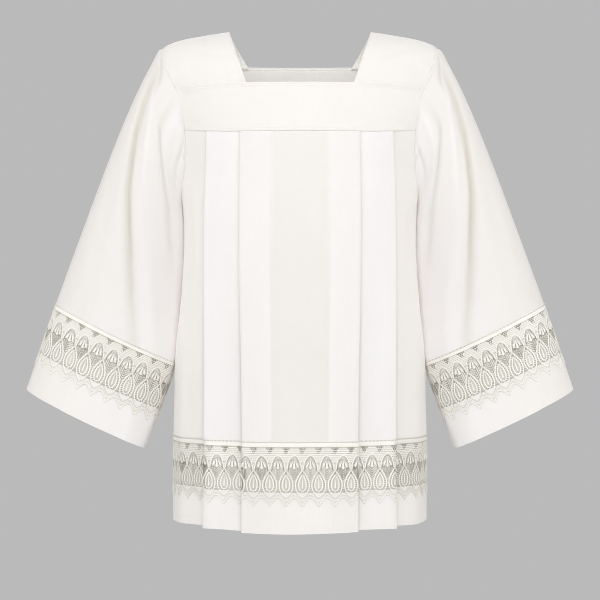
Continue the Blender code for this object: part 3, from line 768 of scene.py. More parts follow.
# %% Yokes
YOKE_BOTTOM = 0.8 * MM  # how far a yoke's edge overhangs the pleats
YOKE_LAYERS_AND_LIGHT = {"front": 1.0, "back": 3.0}  # painted light: the front one darker, and the back one, whose inner side and lining show in the neck, lighter
YOKE_CREASES = table("face from to wide high", [  # metres from the middle, and down from the neck
    ("front", (0.189, 0.055), (0.150, 0.073), 0.0036, -0.0012),
    ("front", (0.190, 0.040), (0.160, 0.051), 0.0040, -0.0009),
    ("front", (-0.189, 0.058), (-0.154, 0.071), 0.0038, -0.0011),
    ("front", (-0.191, 0.016), (-0.158, 0.010), 0.0036, -0.0010),
    ("back", (0.196, 0.050), (0.160, 0.066), 0.0038, -0.0012),
    ("back", (-0.196, 0.046), (-0.164, 0.064), 0.0040, -0.0010),
])
# How far the puckers reach, their pitch and their height, in millimetres, and a seed.
YOKE_PUCKERS = {"seam": (9, 23, 0.22, 1.3), "neck": (8, 31, 0.18, 4.1)}
YOKE_ROWS, YOKE_COLUMNS = 12, 24  # between its edges, and from the middle to the neck's corner
SEWN_DOWN, SEWN_EASE, SEAM_RISE = 0.4 * MM, 6 * MM, 5.0 * MM
SHOULDER_STOPS = np.linspace(0, 1, 30)
STITCH_ROW = 5  # the row of an edge's points that the thread follows
STITCH_LINES = []  # points and the way out of the cloth, along each line of stitches


def stitch_edges(points, normals):
    for row in (STITCH_ROW, -1 - STITCH_ROW):
        STITCH_LINES.append((points[row], normals[row]))


def yoke_line(face, down):
    """Half a row of a yoke, from the middle to the armhole, a share of the way down it."""
    first, last = armhole_share(STRAP_SEAM_Z[face]), armhole_share(YOKE_SEAM_Z[face])
    neck_z = NECK_Z[face] + (YOKE_SEAM_Z[face] - NECK_Z[face]) * down
    side_z = ARMHOLE_TOP_Z + (ARMPIT_Z - ARMHOLE_TOP_Z) * (first + (last - first) * down)
    depth = YOKE[face]["neck"] + (YOKE[face]["seam"] - YOKE[face]["neck"]) * down
    corner = NECK_CORNER_X[face]
    level = Outline(face, neck_z, depth)
    lengths = np.linspace(0, level.length_at(corner), YOKE_COLUMNS, endpoint=False)
    points = [level.at(lengths)[0]]
    for stop in SHOULDER_STOPS:
        outline = Outline(face, neck_z + (side_z - neck_z) * stop**2, depth)
        start = outline.length_at(corner)
        points.append(outline.at(start + (outline.length - start) * np.array([stop]))[0])
    return np.concatenate(points)


def mirrored(half):
    return np.concatenate([(half * (-1, 1, 1))[::-1], half[1:]])


def make_yoke(face):
    tall = NECK_Z[face] - YOKE_SEAM_Z[face]
    downs = edge_rows(tall, YOKE_ROWS)[:, None]
    points = np.array([mirrored(yoke_line(face, down)) for down in downs[:, 0]])
    points[..., 2] -= YOKE_BOTTOM * downs**4
    run = points[..., 0]
    lift = edge_height(np.minimum(downs, 1 - downs) * tall)
    lift = lift + pucker(run, (1 - downs) * tall, *YOKE_PUCKERS["seam"])
    lift += pucker(run, downs * tall, *YOKE_PUCKERS["neck"])
    for row in YOKE_CREASES:
        if row["face"] == face:
            lift += crease(run, downs * tall, row)
    for mark in ("edge_1", "edge_2"):  # the band lies lower where fewer pleats lie below it
        past = unit((np.abs(run) - float(read(PLEATS, mark, YOKE_SEAM_Z[face]))) / SEWN_EASE)
        lift -= SEWN_DOWN * past * downs**6
    points[..., 2] += side_rise(run) * SEAM_RISE * downs**2
    normals = grid_normals(points)
    normals *= np.sign(normals[..., 1:2] * OUT[face])
    points = points + normals * lift[..., None]
    keep_edges(face, points)
    stitch_edges(points, normals)
    piece = cloth_piece(face + "_band", points, DOUBLED, outward=-OUT[face],
                        layers=YOKE_LAYERS_AND_LIGHT[face])
    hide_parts(face + "_yoke")
    tell(piece, "cloth", spread(running(points)[:, -1]), "wide,")


for face in OUT:
    make_yoke(face)

# %% [markdown]
# A strap is stretched between four edges: the line over the shoulder, the seam with the yoke, the
# edge of the neck and the armhole. Such a surface is a Coons patch, the sum of two straight
# blends between opposite edges, less the blend of the four corners that both of them count.

# %% Shoulder straps
SHOULDER_NECK = np.array([0.1160, 0.0, 0.0])
SHOULDER = table("z high", [  # shares of the way from the neck to the armhole, and heights there
    (0.00, 0.0000), (0.13, -0.0019), (0.40, -0.0066), (0.67, -0.0120), (0.85, -0.0178),
    (0.94, -0.0225), (1.00, -0.0280),
])
STRAP_ROUNDNESS = 1.8


def shoulder_line(share):
    end = armhole_points("front", 0.0)
    line = SHOULDER_NECK + (end - SHOULDER_NECK) * share[:, None]
    line[:, 2] = [read(SHOULDER, "high", place) for place in share]
    return line


def strap_half(face, columns, rows):
    """A grid from the shoulder's line down to the yoke on the +X side."""
    seam = yoke_line(face, 0.0)[-len(SHOULDER_STOPS):]
    chord = np.linalg.norm(seam - seam[0], axis=1)
    share = np.linspace(0, 1, columns)
    low = on_line(share * chord[-1], chord, seam)
    top = shoulder_line(share)
    end = armhole_share(STRAP_SEAM_Z[face])
    grid = []
    for step in np.linspace(0, 1, rows):
        down = 1 - cos(pi / 2 * step)
        angle = np.arccos(1 - down)
        neck = np.array([SHOULDER_NECK[0] + (low[0, 0] - SHOULDER_NECK[0]) * down,
                         low[0, 1] * sin(angle) ** (2 / STRAP_ROUNDNESS), low[0, 2] * down])
        arm = armhole_points(face, end * down)
        s = share[:, None]
        corners = ((top[0] * (1 - s) + top[-1] * s) * (1 - down)
                   + (low[0] * (1 - s) + low[-1] * s) * down)
        grid.append(top * (1 - down) + low * down + neck * (1 - s) + arm * s - corners)
    return np.array(grid)


# X is a share of the way from the neck to the armhole, the second place is metres down the front.
STRAP_CREASES = table("from to wide high", [
    ((0.60, 0.056), (0.20, 0.104), 0.0070, -0.0017),
    ((0.98, 0.086), (0.60, 0.094), 0.0040, -0.0012),
    ((0.40, -0.030), (0.80, -0.075), 0.0080, -0.0016),
])
STRAP_PUCKERS = {"armhole": (9, 26, 0.30, 2.2), "yoke": (10, 19, 0.30, 0.7)}
STRAP_GRID = {"columns": 30, "front": 34, "back": 26}
# how white a strap is: its cloth, with painted light
STRAP_LAYERS_AND_LIGHT = 1.6
SAG = {"at": 0.055, "wide": 0.03, "deep": 1.1 * MM}  # metres from the seam with the front yoke
TUCK = {"long": 5.0 * MM, "deep": 1.3 * MM, "near": 0.6}  # near is the seam's share of the depth


def tuck_ends(points, normals):
    """Runs both ends of a strap on below the yokes' edges."""
    rows = [points]
    for end, near in ((0, 1), (-1, -2)):
        way = points[end] - points[near]
        way /= np.linalg.norm(way, axis=1, keepdims=True)
        far = points[end] + way * TUCK["long"] - normals[end] * TUCK["deep"]
        points[end] -= normals[end] * TUCK["deep"] * TUCK["near"]
        rows = [far[None]] + rows if end == 0 else rows + [far[None]]
    return np.concatenate(rows)


def make_strap(name, side):
    front, back = (strap_half(face, STRAP_GRID["columns"], STRAP_GRID[face]) for face in OUT)
    points = np.concatenate([front[::-1], back[1:]])
    normals = grid_normals(points)
    normals *= np.sign(normals[..., 2:3].mean())
    from_neck = running(points)
    share = from_neck / from_neck[:, -1:]
    down = running(points.transpose(1, 0, 2)).T
    lift = edge_height(from_neck)
    lift = lift + pucker(down, from_neck[:, -1:] - from_neck, *STRAP_PUCKERS["armhole"])
    lift += pucker(from_neck, down, *STRAP_PUCKERS["yoke"])
    for row in STRAP_CREASES:
        lift = lift + crease(share, down[len(front) - 1] - down, row)
    sag = np.sin(pi * unit(share)) * np.exp(-((down - SAG["at"]) / SAG["wide"]) ** 2)
    points = points + normals * (lift - SAG["deep"] * sag)[..., None]
    STITCH_LINES.append((points[:, 1] * (side, 1, 1), normals[:, 1] * (side, 1, 1)))
    points = tuck_ends(points, normals)
    keep_edge(name, "front", points[1:len(front) + 1])
    keep_edge(name, "back", points[len(front) + 1:-1])
    piece = cloth_piece("strap_" + name, points * (side, 1, 1), THIN, outward=side,
                        layers=STRAP_LAYERS_AND_LIGHT)
    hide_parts("shoulder_strap_" + name)
    tell(piece, "cloth", spread(from_neck[:, -1]), "wide,", spread(down[-1]), "long,")


for name, side in SIDES:
    make_strap(name, side)

# %% [markdown]
# Each sleeve is a wide tube that hangs out and down. Its rings are ovals between an outer and an
# inner edge, and the first one is the armhole itself. Cloth that hangs from a shoulder falls in a
# few long valleys from the top of the armhole, so those are placed as lines down the tube.

# %% Sleeves: the form
SLEEVE = table("outer_x outer_z inner_x inner_y inner_z front back edge", [
    (0.2255, -0.0280, 0.1948, 0.000, -0.2576, 0.070, 0.066, 1.00),  # armhole
    (0.2516, -0.0690, 0.1922, 0.036, -0.2975, 0.076, 0.070, 1.00),  # cap
    (0.2808, -0.1313, 0.1915, 0.046, -0.3445, 0.078, 0.072, 1.00),  # upper
    (0.3103, -0.2035, 0.1925, 0.050, -0.3930, 0.077, 0.072, 1.02),  # middle
    (0.3383, -0.2773, 0.1960, 0.050, -0.4420, 0.074, 0.070, 1.05),  # elbow
    (0.3662, -0.3527, 0.2010, 0.042, -0.4910, 0.070, 0.067, 1.08),  # lower
    (0.4002, -0.4460, 0.2102, 0.026, -0.5420, 0.066, 0.063, 1.12),  # lace
    (0.4477, -0.5840, 0.2550, 0.020, -0.6800, 0.062, 0.060, 1.15),  # cuff
])
LACE_RING, CUFF_RING = 6, 7
# Across runs from the outer edge, 0, to the inner edge, 1, at the places in a crease's list.
SLEEVE_CREASES = table("face places across high wide", [
    ("front", [0.15, 1, 2, 3, 4, 5, 6], [.10, .12, .18, .29, .446, .57, .695],
     [0, -.0060, -.0074, -.0084, -.0080, -.0062, -.0036], 0.0090),
    ("front", [0.5, 1, 2, 3, 4, 5, 6], [.17, .19, .25, .37, .52, .65, .76],
     [0, -.003, -.005, -.006, -.006, -.004, -.002], 0.0200),
    ("front", [0.15, 1, 2, 3, 4], [.34, .44, .74, .84, .88], [0, -.0044, -.0044, -.0026, 0],
     0.0086),
    ("front", [0.4, 1, 2, 3, 4], [.40, .50, .80, .88, .92], [0, -.0024, -.003, -.002, 0], 0.0150),
    ("front", [0.3, 1, 2, 3.2], [.20, .22, .36, .50], [0, .0022, .0026, 0], 0.010),
    ("front", [0.02, 0.15, 0.45, 0.9], [.03, .08, .17, .23], [0, -.0040, -.0048, 0], 0.0042),
    ("front", [0.02, 0.10, 0.38], [.81, .79, .73], [0, -.0042, 0], 0.0048),
    ("front", [0.1, 0.5, 1.6], [.46, .50, .70], [0, .0026, 0], 0.0090),
    ("front", [0.05, 0.4, 1.2], [.66, .72, .82], [0, -.0035, 0], 0.0060),
    ("front", [2.6, 4, 5.5, 7], [.12, .17, .24, .27], [0, -.0026, -.0034, -.0034], 0.014),
    ("front", [3.4, 4.6, 6, 7], [.62, .72, .83, .86], [0, .0018, .0022, .0020], 0.013),
    ("back", [0.15, 1, 2, 3, 4, 5, 6, 7], [.12, .15, .22, .33, .47, .58, .66, .68],
     [0, -.0055, -.008, -.008, -.0065, -.0045, -.003, -.001], 0.0080),
    ("back", [0.12, 1, 2, 3.4], [.36, .40, .66, .84], [0, -.0065, -.006, 0], 0.0072),
    ("back", [0.04, 0.3, 0.9], [.55, .60, .72], [-.0004, -.0040, 0], 0.0060),
    ("back", [2.8, 4.2, 6, 7], [.16, .20, .28, .30], [0, -.0024, -.0032, -.0030], 0.015),
])


def ring_value(column, place):
    """A size of the sleeve between its rings, on a smooth curve."""
    index = min(int(place), len(SLEEVE) - 2)
    t = place - index
    low, here, high, beyond = (SLEEVE[min(max(index + step, 0), len(SLEEVE) - 1)][column]
                               for step in (-1, 0, 1, 2))
    return smooth(t, here, high, (high - low) / 2, (beyond - here) / 2)


SQUARED = 0.72  # how much flatter a ring runs towards its inner edge, where it meets the body
LAP = 0.0125  # how far its front and back reach past the body's side there
SHOULDER_ROUND = 0.0034  # how far the sleeve's head stands up outside the shoulder
HEAD = {"way": np.array([0.83, 0.0, 0.56]), "wide": 0.65}  # out and up, and radians round it
HEAD_RISES, HEAD_FADES, HEAD_GONE = 0.14, 0.30, 0.95  # rings from the armhole


def crease_height(row, place, away):
    """How much a crease lifts the cloth at a ring, at distances from the crease's middle."""
    return np.interp(place, row["places"], row["high"]) * np.exp(-(away**2))


def creases_at(place):
    """The creases that cross a ring, and where round it each one lies."""
    return [(row, np.interp(place, row["places"], row["across"])) for row in SLEEVE_CREASES
            if row["places"][0] < place <= row["places"][-1] + 1e-9]


def sleeve_half(face, place, angles, lift=0.0):
    """Points of half a ring of the +X sleeve, from the outer edge at 0 to the inner edge at pi."""
    outer = np.array([ring_value("outer_x", place), 0.0, ring_value("outer_z", place)])
    inner = np.array([ring_value("inner_" + axis, place) for axis in "xyz"])
    half, across, turn = (outer - inner) / 2, (1 - np.cos(angles)) / 2, np.cos(angles)[:, None]
    width, depth = 2 * np.linalg.norm(half), ring_value(face, place)
    bow = unit(np.sin(angles)) ** ring_value("edge", place)
    square = SQUARED * unit(place / 1.5) * unit((angles - pi / 2) / (pi / 2))
    bow = bow ** (1 - square)
    high = np.full_like(angles, lift)
    for row, centre in creases_at(place):
        if row["face"] == face:
            high += crease_height(row, place, (across - centre) * width / row["wide"])
    inside = np.minimum(1.0, bow * 2)  # front and back meet at the edges, so creases end there
    high = high * inside + lift * (1 - inside)
    points = (outer + inner) / 2 + half * turn
    points[:, 1] += OUT[face] * depth * bow
    points[:, 0] -= LAP * unit(place) * unit(CUFF_RING - place) * bow * unit(2 * across - 1) ** 3
    fading = unit((HEAD_GONE - place) / (HEAD_GONE - HEAD_FADES)) ** 1.5
    head = SHOULDER_ROUND * sqrt(min(1.0, place / HEAD_RISES)) * fading
    points += HEAD["way"] * (head * np.exp(-((angles / HEAD["wide"]) ** 2)))[:, None]
    out = half / np.linalg.norm(half) * turn / np.linalg.norm(half)
    out[:, 1] += OUT[face] * np.sin(angles) / depth
    points += out / np.linalg.norm(out, axis=1, keepdims=True) * high[:, None]
    if place < 1:  # the ring leans towards the armhole's own line as it nears it
        top, low = armhole_points("front", 0.0), armhole_points("front", 1.0)
        oval = (top + low) / 2 + (top - low) / 2 * turn
        oval[:, 1] += OUT[face] * ARMHOLE_DEPTH[face] * np.sin(angles)
        points += (armhole_points(face, across) - oval) * (1 - place) ** 2 * (1 + 2 * place)
    return points


def ring_angles(columns):
    return np.linspace(0, pi, columns + 1)


def sleeve_sunk(place, columns):
    """How deep in a crease the cloth lies round a ring, in millimetres."""
    across = (1 - np.cos(ring_angles(columns))) / 2
    width = np.hypot(ring_value("outer_x", place) - ring_value("inner_x", place),
                     ring_value("outer_z", place) - ring_value("inner_z", place))
    deep = {face: np.zeros(columns + 1) for face in OUT}
    for row, centre in creases_at(place):
        if row["wide"] < SHARP:
            away = (across - centre) * width / (1.1 * row["wide"])
            deep[row["face"]] -= crease_height(row, place, away) / MM
    return np.concatenate([deep["front"][:-1], deep["back"][:0:-1]])


def sleeve_ring(place, columns, lift=0.0):
    """A whole ring: down the front from the outer edge, and back up behind."""
    front, back = (sleeve_half(face, place, ring_angles(columns), lift) for face in OUT)
    return np.concatenate([front[:-1], back[:0:-1]])


# %% Sleeves: the cloth
SLEEVE_LAYERS_AND_LIGHT, CREASE_SHADE = (0.7, 3.4), 0.42  # how white the sleeves are, with painted light towards the inner edge, less painted shade in a crease
SHARP = 0.012  # wider creases than this get no painted shade
HEADING_PLACES = HEADING / 0.146  # as a share of the way from the lace's ring to the cuff
HEAD_PLACES = [0, 0.012, 0.03, 0.055, 0.09, 0.14, 0.20, 0.27, 0.35, 0.44, 0.55, 0.68, 0.83]
SLEEVE_ROWS, SLEEVE_COLUMNS = 66, 96


def sleeve_layers_and_light(place, columns):
    # painted light, growing towards the inner edge, and painted shade in the creases
    inwards = (1 - np.cos(np.linspace(0, 2 * pi, 2 * columns + 1)[:-1])) / 2
    return SLEEVE_LAYERS_AND_LIGHT[0] + SLEEVE_LAYERS_AND_LIGHT[1] * inwards - CREASE_SHADE * sleeve_sunk(place, columns)


def sleeve_grid(places, side):
    """Rings of a sleeve, and how white each point is, with painted light and painted shade in
    creases.
    """
    return (np.array([sleeve_ring(place, SLEEVE_COLUMNS) for place in places]) * (side, 1, 1),
            np.array([sleeve_layers_and_light(place, SLEEVE_COLUMNS) for place in places]))


def make_sleeve(name, side):
    tube = np.linspace(1, LACE_RING + HEADING_PLACES, SLEEVE_ROWS)
    points, layers = sleeve_grid(np.concatenate([HEAD_PLACES, tube]), side)
    piece = cloth_piece("sleeve_tube_" + name, points, THIN, ring=True, outward=side,
                        layers=layers)
    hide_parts("sleeve_" + name)
    tell(piece, spread(running(points)[:, -1]), "round,")


for name, side in SIDES:
    make_sleeve(name, side)

# %% [markdown]
# The sleeves are sewn in with a flat-felled seam: both raw edges are folded under each other and
# stitched down, which leaves a narrow soft ridge round the armhole. It is a strip bent over the
# join, from 3 mm inside the armhole to 3 mm out on the sleeve.

# %% Armhole seams
SEAM_HIGH, SEAM_WALL = 1.3 * MM, 0.5 * MM
SEAM_STEPS = np.linspace(0, 1, 9)[:, None]  # across the strip
SEAM_SHARES = np.linspace(0.0, 0.985, 90) ** 1.2  # down the armhole
SEAM_PLACE = 0.065  # how far down the sleeve its outer edge lies, in rings
SEAM_LOW = {"by": 0.35 * MM, "shoulder": 0.3, "until": 0.15}  # it lies flatter over the shoulder
# how white the seam is: its cloth, with painted light
SEAM_LAYERS_AND_LIGHT = 1.9
SHOULDER_JOINT = {"x": 0.19, "down": 0.03}  # the seam bulges away from a line through here


def across_from(way, across):
    """A direction with its part along another taken out."""
    return way - across * way.dot(across) / across.dot(across)


def seam_line(share, inner, edge, far):
    """One row across the seam: a soft ridge that bulges away from the shoulder's joint."""
    middle = (inner + far) / 2
    joint = np.array([SHOULDER_JOINT["x"], 0.0, edge[2] - SHOULDER_JOINT["down"]])
    away = across_from(middle - joint, far - inner)
    away /= np.linalg.norm(away)
    low = SEAM_LOW["shoulder"]
    high = SEAM_HIGH * (low + (1 - low) * min(1.0, abs(share) / SEAM_LOW["until"]))
    t = SEAM_STEPS
    line = inner * (1 - t) ** 2 + (edge + away * high) * 2 * t * (1 - t) + far * t**2
    return line + away * (high * (1 - (2 * t - 1) ** 4) - SEAM_LOW["by"])


def armhole_seam(name, side):
    rows = []
    for face in OUT:
        kept = sorted(EDGES[name, face], key=lambda pair: -pair[0][2])
        heights = -np.array([pair[0][2] for pair in kept])
        inner = np.array([pair[1] - pair[0] for pair in kept])
        for share in SEAM_SHARES:
            edge = armhole_points(face, share)
            far = sleeve_half(face, SEAM_PLACE, np.array([np.arccos(1 - 2 * share)]))[0]
            rows.append((share if face == "front" else -share,
                         edge + on_line(-edge[2], heights, inner), edge, far))
    rows = sorted(rows, key=lambda row: -row[0])
    grid = [seam_line(*row) for row in rows if row[0] != 0 or row[1][1] <= 0]
    grid = np.array(grid) * (side, 1, 1)
    piece = cloth_piece("armhole_seam_" + name, grid, SEAM_WALL, outward=side, layers=SEAM_LAYERS_AND_LIGHT)
    tell(piece, running(grid[None, :, 4])[0, -1].round(3), "m round,")


for name, side in SIDES:
    armhole_seam(name, side)

# %% [markdown]
# The hem and the cuffs are bands of doubled cloth below the lace. They follow the same path
# and the same rings, so pleats and folds run on into them.

# %% Hem and cuffs
CUFF_TALL = 0.067
SLEEVE_HEM_START = 0.496  # shares of the way from the lace's ring to the cuff
BAND_ROWS = 10  # between a band's edges
DROOP = {"high": 1.3 * MM, "along": 26.0, "ends": 0.207, "fades": 0.03}  # none at the side seam
HEM_LAYERS_AND_LIGHT = (0.092, 0.096, 0.145, 0.149), (1.7, 2.5, 2.5, 1.3)  # metres from the middle, and how white the hem is there: painted light and shade, lighter on the second pleats, darker on the middle and most on the side panels


def make_hem(face):
    downs = edge_rows(HEM_START_Z - HEM_Z, BAND_ROWS)
    heights = HEM_START_Z + (HEM_Z - HEM_START_Z) * downs
    points, _ = pleated(face, heights, CLOTH_SPACING, body_relief)
    x = points[..., 0]
    fold = DROOP["high"] * np.sin(DROOP["along"] * x + OUT[face])
    fold *= unit((DROOP["ends"] - np.abs(x)) / DROOP["fades"])
    points[..., 2] += fold * downs[:, None] ** 2
    stitch_edges(points, grid_normals(points) * OUT[face])
    piece = cloth_piece("hem_band_" + face, points, DOUBLED, outward=-OUT[face],
                        layers=np.interp(np.abs(x), *HEM_LAYERS_AND_LIGHT))
    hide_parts("hem_" + face)
    tell(piece)


def make_cuff(name, side):
    downs = edge_rows(CUFF_TALL, BAND_ROWS)
    places = LACE_RING + SLEEVE_HEM_START + (1 - SLEEVE_HEM_START) * downs
    points, layers = sleeve_grid(places, side)
    stitch_edges(points, grid_normals(points, ring=True) * side)
    piece = cloth_piece("cuff_band_" + name, points, DOUBLED, ring=True, outward=side,
                        layers=layers)
    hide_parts("sleeve_hem_" + name)
    tell(piece)


for face in OUT:
    make_hem(face)
for name, side in SIDES:
    make_cuff(name, side)

# %% [markdown]
# The lace is embroidery on net: thick threads draw pointed arches and drops, and thin ones fill
# them with mesh, petals and little ladders. One repeat is 26 mm wide. It is charted flat, as an
# embroiderer draws it: cords are long bars with four or five sides, and the net below them is a
# lattice of flat threads, so the two are separate sheets. The net is painted dark, and the low
# threads and dents darker, as painted shade in the lace's holes and hollows. X is across, Y is down
# from the lace's top edge and Z is out of the cloth, all in millimetres.

# %% Lace: cords
REPEAT = 26.0
ARCH_X = REPEAT / 2  # the middle line of an arch
RELIEF = 0.55  # how high a cord stands beside what the chart says
LACE_TALL = 100.5
BASE = -0.2  # how low a cord's back lies
WRONG_SIDE_SHADE = 0.34  # the side of the lace that faces inwards gets little light
THICK_CORD = [(1, 0), (-1, 0), (-0.82, 0.72), (0, 1), (0.82, 0.72)]  # half widths out, heights up
THIN_CORD = [(1, 0), (-1, 0), (-0.72, 1), (0.72, 1)]
THICK_FROM = 1.5
NET_PIECE = 3.4  # how long a net's threads run without a bend
PETAL_RIM = [(0.0, 0.20), (0.3, 0.46), (0.6, 0.84), (0.82, 1.0), (0.95, 0.80)]  # along, half width
PETAL_RIDGE = [(0.2, 0.5), (0.76, 1.0)]  # along, height


class Chart:
    """Collects the flat parts of one repeat."""

    def __init__(self):
        self.points, self.faces, self.shades = [], [], []

    def shade_rest(self, shade):
        """Marks the faces added since the last mark as lying in shade, from 0 to 1."""
        for face in self.faces[len(self.shades):]:
            inwards = max(self.points[k][2] for k in face) <= BASE
            self.shades.append(shade + (WRONG_SIDE_SHADE if inwards else 0.0))

    def cord(self, line, width, high=0.9, closed=False):
        """A bar along a line, closed at its ends, with a ridge on top, or a flat top if thin."""
        high *= RELIEF
        line = np.asarray(line, float)
        if closed:
            way = np.roll(line, -1, axis=0) - np.roll(line, 1, axis=0)
        else:
            way = np.gradient(line, axis=0)
        way /= np.maximum(np.linalg.norm(way, axis=1, keepdims=True), 1e-9)
        side = np.stack([-way[:, 1], way[:, 0]], axis=-1) * (width / 2)
        low = np.full((len(line), 1), BASE)
        start, count = len(self.points), len(line)
        section = THIN_CORD if width < THICK_FROM else THICK_CORD
        corners = len(section)
        ring = np.stack([np.hstack([line + side * out, low + high * up])
                         for out, up in section], axis=1)
        self.points.extend(ring.reshape(-1, 3).tolist())
        for step in range(count if closed else count - 1):
            a, b = start + corners * step, start + corners * ((step + 1) % count)
            self.faces += [(a + k, b + k, b + (k + 1) % corners, a + (k + 1) % corners)
                           for k in range(corners)]
        if not closed:
            last = start + corners * (count - 1)
            self.faces += [tuple(range(start, start + corners)),
                           tuple(range(last + corners - 1, last - 1, -1))]

    def ground(self, top, bottom, across, width, shade):
        """A net of crossing threads below everything, whose shade depends on the place."""
        piece = (bottom - top) / int((bottom - top) / NET_PIECE)
        for way in (-1, 1):
            side = np.array([width / 2, -way * width / 2]) / sqrt(2)
            for x in np.arange(across) * (REPEAT / across):
                for y in np.arange(top, bottom - 0.1, piece):
                    left = (x + way * (y - top) + ARCH_X) % REPEAT - ARCH_X
                    start, end = np.array([left, y]), np.array([left + way * piece, y + piece])
                    first = len(self.points)
                    self.points.extend([*spot, -0.05 * (way + 1)] for spot in
                                       (start - side, start + side, end + side, end - side))
                    self.shades.append(shade(*((start + end) / 2)))
                    self.faces.append(tuple(range(first, first + 4))[::way])

    def both(self, line, width, high=0.9, middle=0.0):
        """A cord and its mirror image about a line down the repeat."""
        line = np.asarray(line, float)
        self.cord(line, width, high)
        self.cord(line * (-1, 1) + (2 * middle, 0), width, high)

    def petal(self, start, end, width, high):
        """A raised petal, narrow where it starts and round where it ends."""
        start, end = np.array(start), np.array(end)
        way = end - start
        length = np.hypot(*way)
        way = way / length
        across = np.array([-way[1], way[0]])
        left, right = ([start + way * length * t + across * (side * width / 2 * w)
                        for t, w in PETAL_RIM] for side in (1, -1))
        loop = left + [end] + right[::-1]
        first, count = len(self.points), len(loop)
        self.points.extend([*p, BASE] for p in loop)
        self.points.extend([*(start + way * length * t), high * RELIEF * up]
                           for t, up in PETAL_RIDGE)
        near, far, split = first + count, first + count + 1, 2
        for step in range(count):
            a, b = first + step, first + (step + 1) % count
            inner = step < split or step >= count - split - 1
            self.faces.append((b, a, near if inner else far))
        self.faces += [(first + split, near, far), (first + count - 1 - split, far, near)]
        self.faces.append(tuple(range(first, first + count)))


def curve_through(rows, steps):
    """A smooth line through charted places."""
    rows = np.array(rows, float)
    slopes = np.gradient(rows, axis=0)
    at = np.linspace(0, len(rows) - 1, steps)
    i = np.clip(at.astype(int), 0, len(rows) - 2)
    return smooth((at - i)[:, None], rows[i], rows[i + 1], slopes[i], slopes[i + 1])


def straight(start, end, piece=4.2):
    """Points along a straight cord, close enough to bend over a fold."""
    steps = max(2, int(np.ceil(np.hypot(end[0] - start[0], end[1] - start[1]) / piece)) + 1)
    return np.linspace(start, end, steps)


# %% [markdown]
# The chart puts a drop in the middle of the repeat and half an arch on each side, so an arch is
# drawn once, whole, on the repeat's right edge. The nets are straight threads, cut off where they
# meet an outline.

# %% Lace: one repeat
# Outlines as half widths and places down the chart.
ARCH_HALF = [(0.0, 21.1), (3.5, 23.0), (6.6, 26.4), (8.9, 30.4), (10.2, 34.6), (10.8, 38.6),
             (11.2, 42.6)]
ARCH_INNER = [(0.0, 25.8), (2.1, 27.7), (3.9, 30.6), (5.4, 33.6), (6.3, 36.6), (6.7, 39.4)]
DROP_HALF = [(0.0, 44.6), (2.5, 47.8), (5.3, 51.8), (8.0, 56.6), (10.1, 61.6), (11.0, 66.4),
             (10.6, 71.6), (8.7, 76.8), (5.4, 81.6), (2.4, 84.4), (0.0, 85.3)]
DROP_HEART = [(0.0, 51.6), (2.3, 55.0), (4.7, 59.8), (6.0, 64.8), (6.0, 69.4), (4.6, 73.4),
              (2.2, 76.0), (0.0, 77.0)]
TRIANGLE = [(7.0, 10.4), (0.0, 21.2)]
SCALLOP = [(13.0, 86.8), (10.8, 86.6), (8.8, 87.8), (7.4, 90.4), (5.6, 90.7), (4.4, 93.6),
           (2.9, 94.5), (1.7, 97.7), (0.0, 98.9)]
SCALLOP_INNER = [(13.0, 82.2), (10.8, 82.0), (8.6, 83.4), (7.0, 85.8), (5.2, 86.8), (3.4, 89.8),
                 (1.8, 91.6), (0.0, 92.6)]
DROP_END = [(11.0, 79.0), (8.0, 82.6), (4.6, 85.8), (2.0, 87.8), (0.0, 88.6)]
# Fine threads and dents lie low between the cords, so less light reaches them.
SHADED, HEADING_DENT_SHADE, SCALLOP_DENT_SHADE = 0.07, 0.30, 0.28
CHEVRONS = {"from": 43.0, "to": 62.0, "pitch": 3.7, "slope": 0.85, "reach": 9.0}
BARS = {"arch": (63.4, 66.4, 69.4, 72.6, 75.4), "drop": (60.4, 63.2, 66.0, 68.8, 71.6),
        "tip": (36.6, 39.8, 43.0)}  # places down the chart
GROUND_SHADES = {"triangle": 0.98, "heart": 0.42, "drop": 0.72, "arch": 0.84, "edges": 0.58,
                 "between": 0.27}


def half_at(rows, y):
    """The half width of an outline at a height down the chart."""
    rows = sorted((row[1], row[0]) for row in rows)
    return float(np.interp(y, *zip(*rows), left=0.0, right=0.0))


def net_reach(y):
    """How far the net between two drops reaches from the arch's middle line, at a height."""
    return ARCH_X - half_at(DROP_HALF, y) - 0.6 if y > 45.0 else half_at(ARCH_INNER, 39.4) + 1.8


def chart_net(chart):
    """Chevrons under an arch, whose threads run down to its middle line, and bars further down."""
    slope = CHEVRONS["slope"]
    for low in np.arange(CHEVRONS["from"], CHEVRONS["to"], CHEVRONS["pitch"]):
        reaches = [t for t in np.linspace(0.3, CHEVRONS["reach"], 60)
                   if low - slope * t > 39.6 - 0.12 * t and t < net_reach(low - slope * t)]
        if reaches:
            t = max(reaches)
            ends = [(ARCH_X + side * t, low - slope * t) for side in (-1, 1)]
            chart.cord([ends[0], (ARCH_X, low), ends[1]], 1.9, 0.5)
    chart.both([(ARCH_X + 3.6, 41.5), (ARCH_X + 3.6, 49.5)], 0.6, 0.4, ARCH_X)
    for y in BARS["arch"]:
        reach = net_reach(y) + 0.8
        chart.cord([(ARCH_X - reach, y), (ARCH_X + reach, y)], 1.1, 0.5)


def rungs(chart, outer, inner, count, width, middle):
    """Short bars between two outlines, on both sides of a line."""
    a, b = curve_through(outer, 60), curve_through(inner, 60)
    for share in (np.arange(count) + 0.7) / (count + 0.4):
        start, end = (line[int(share * 59)] for line in (a, b))
        chart.both(np.array([start, end]) + (middle, 0), width, 0.6, middle)


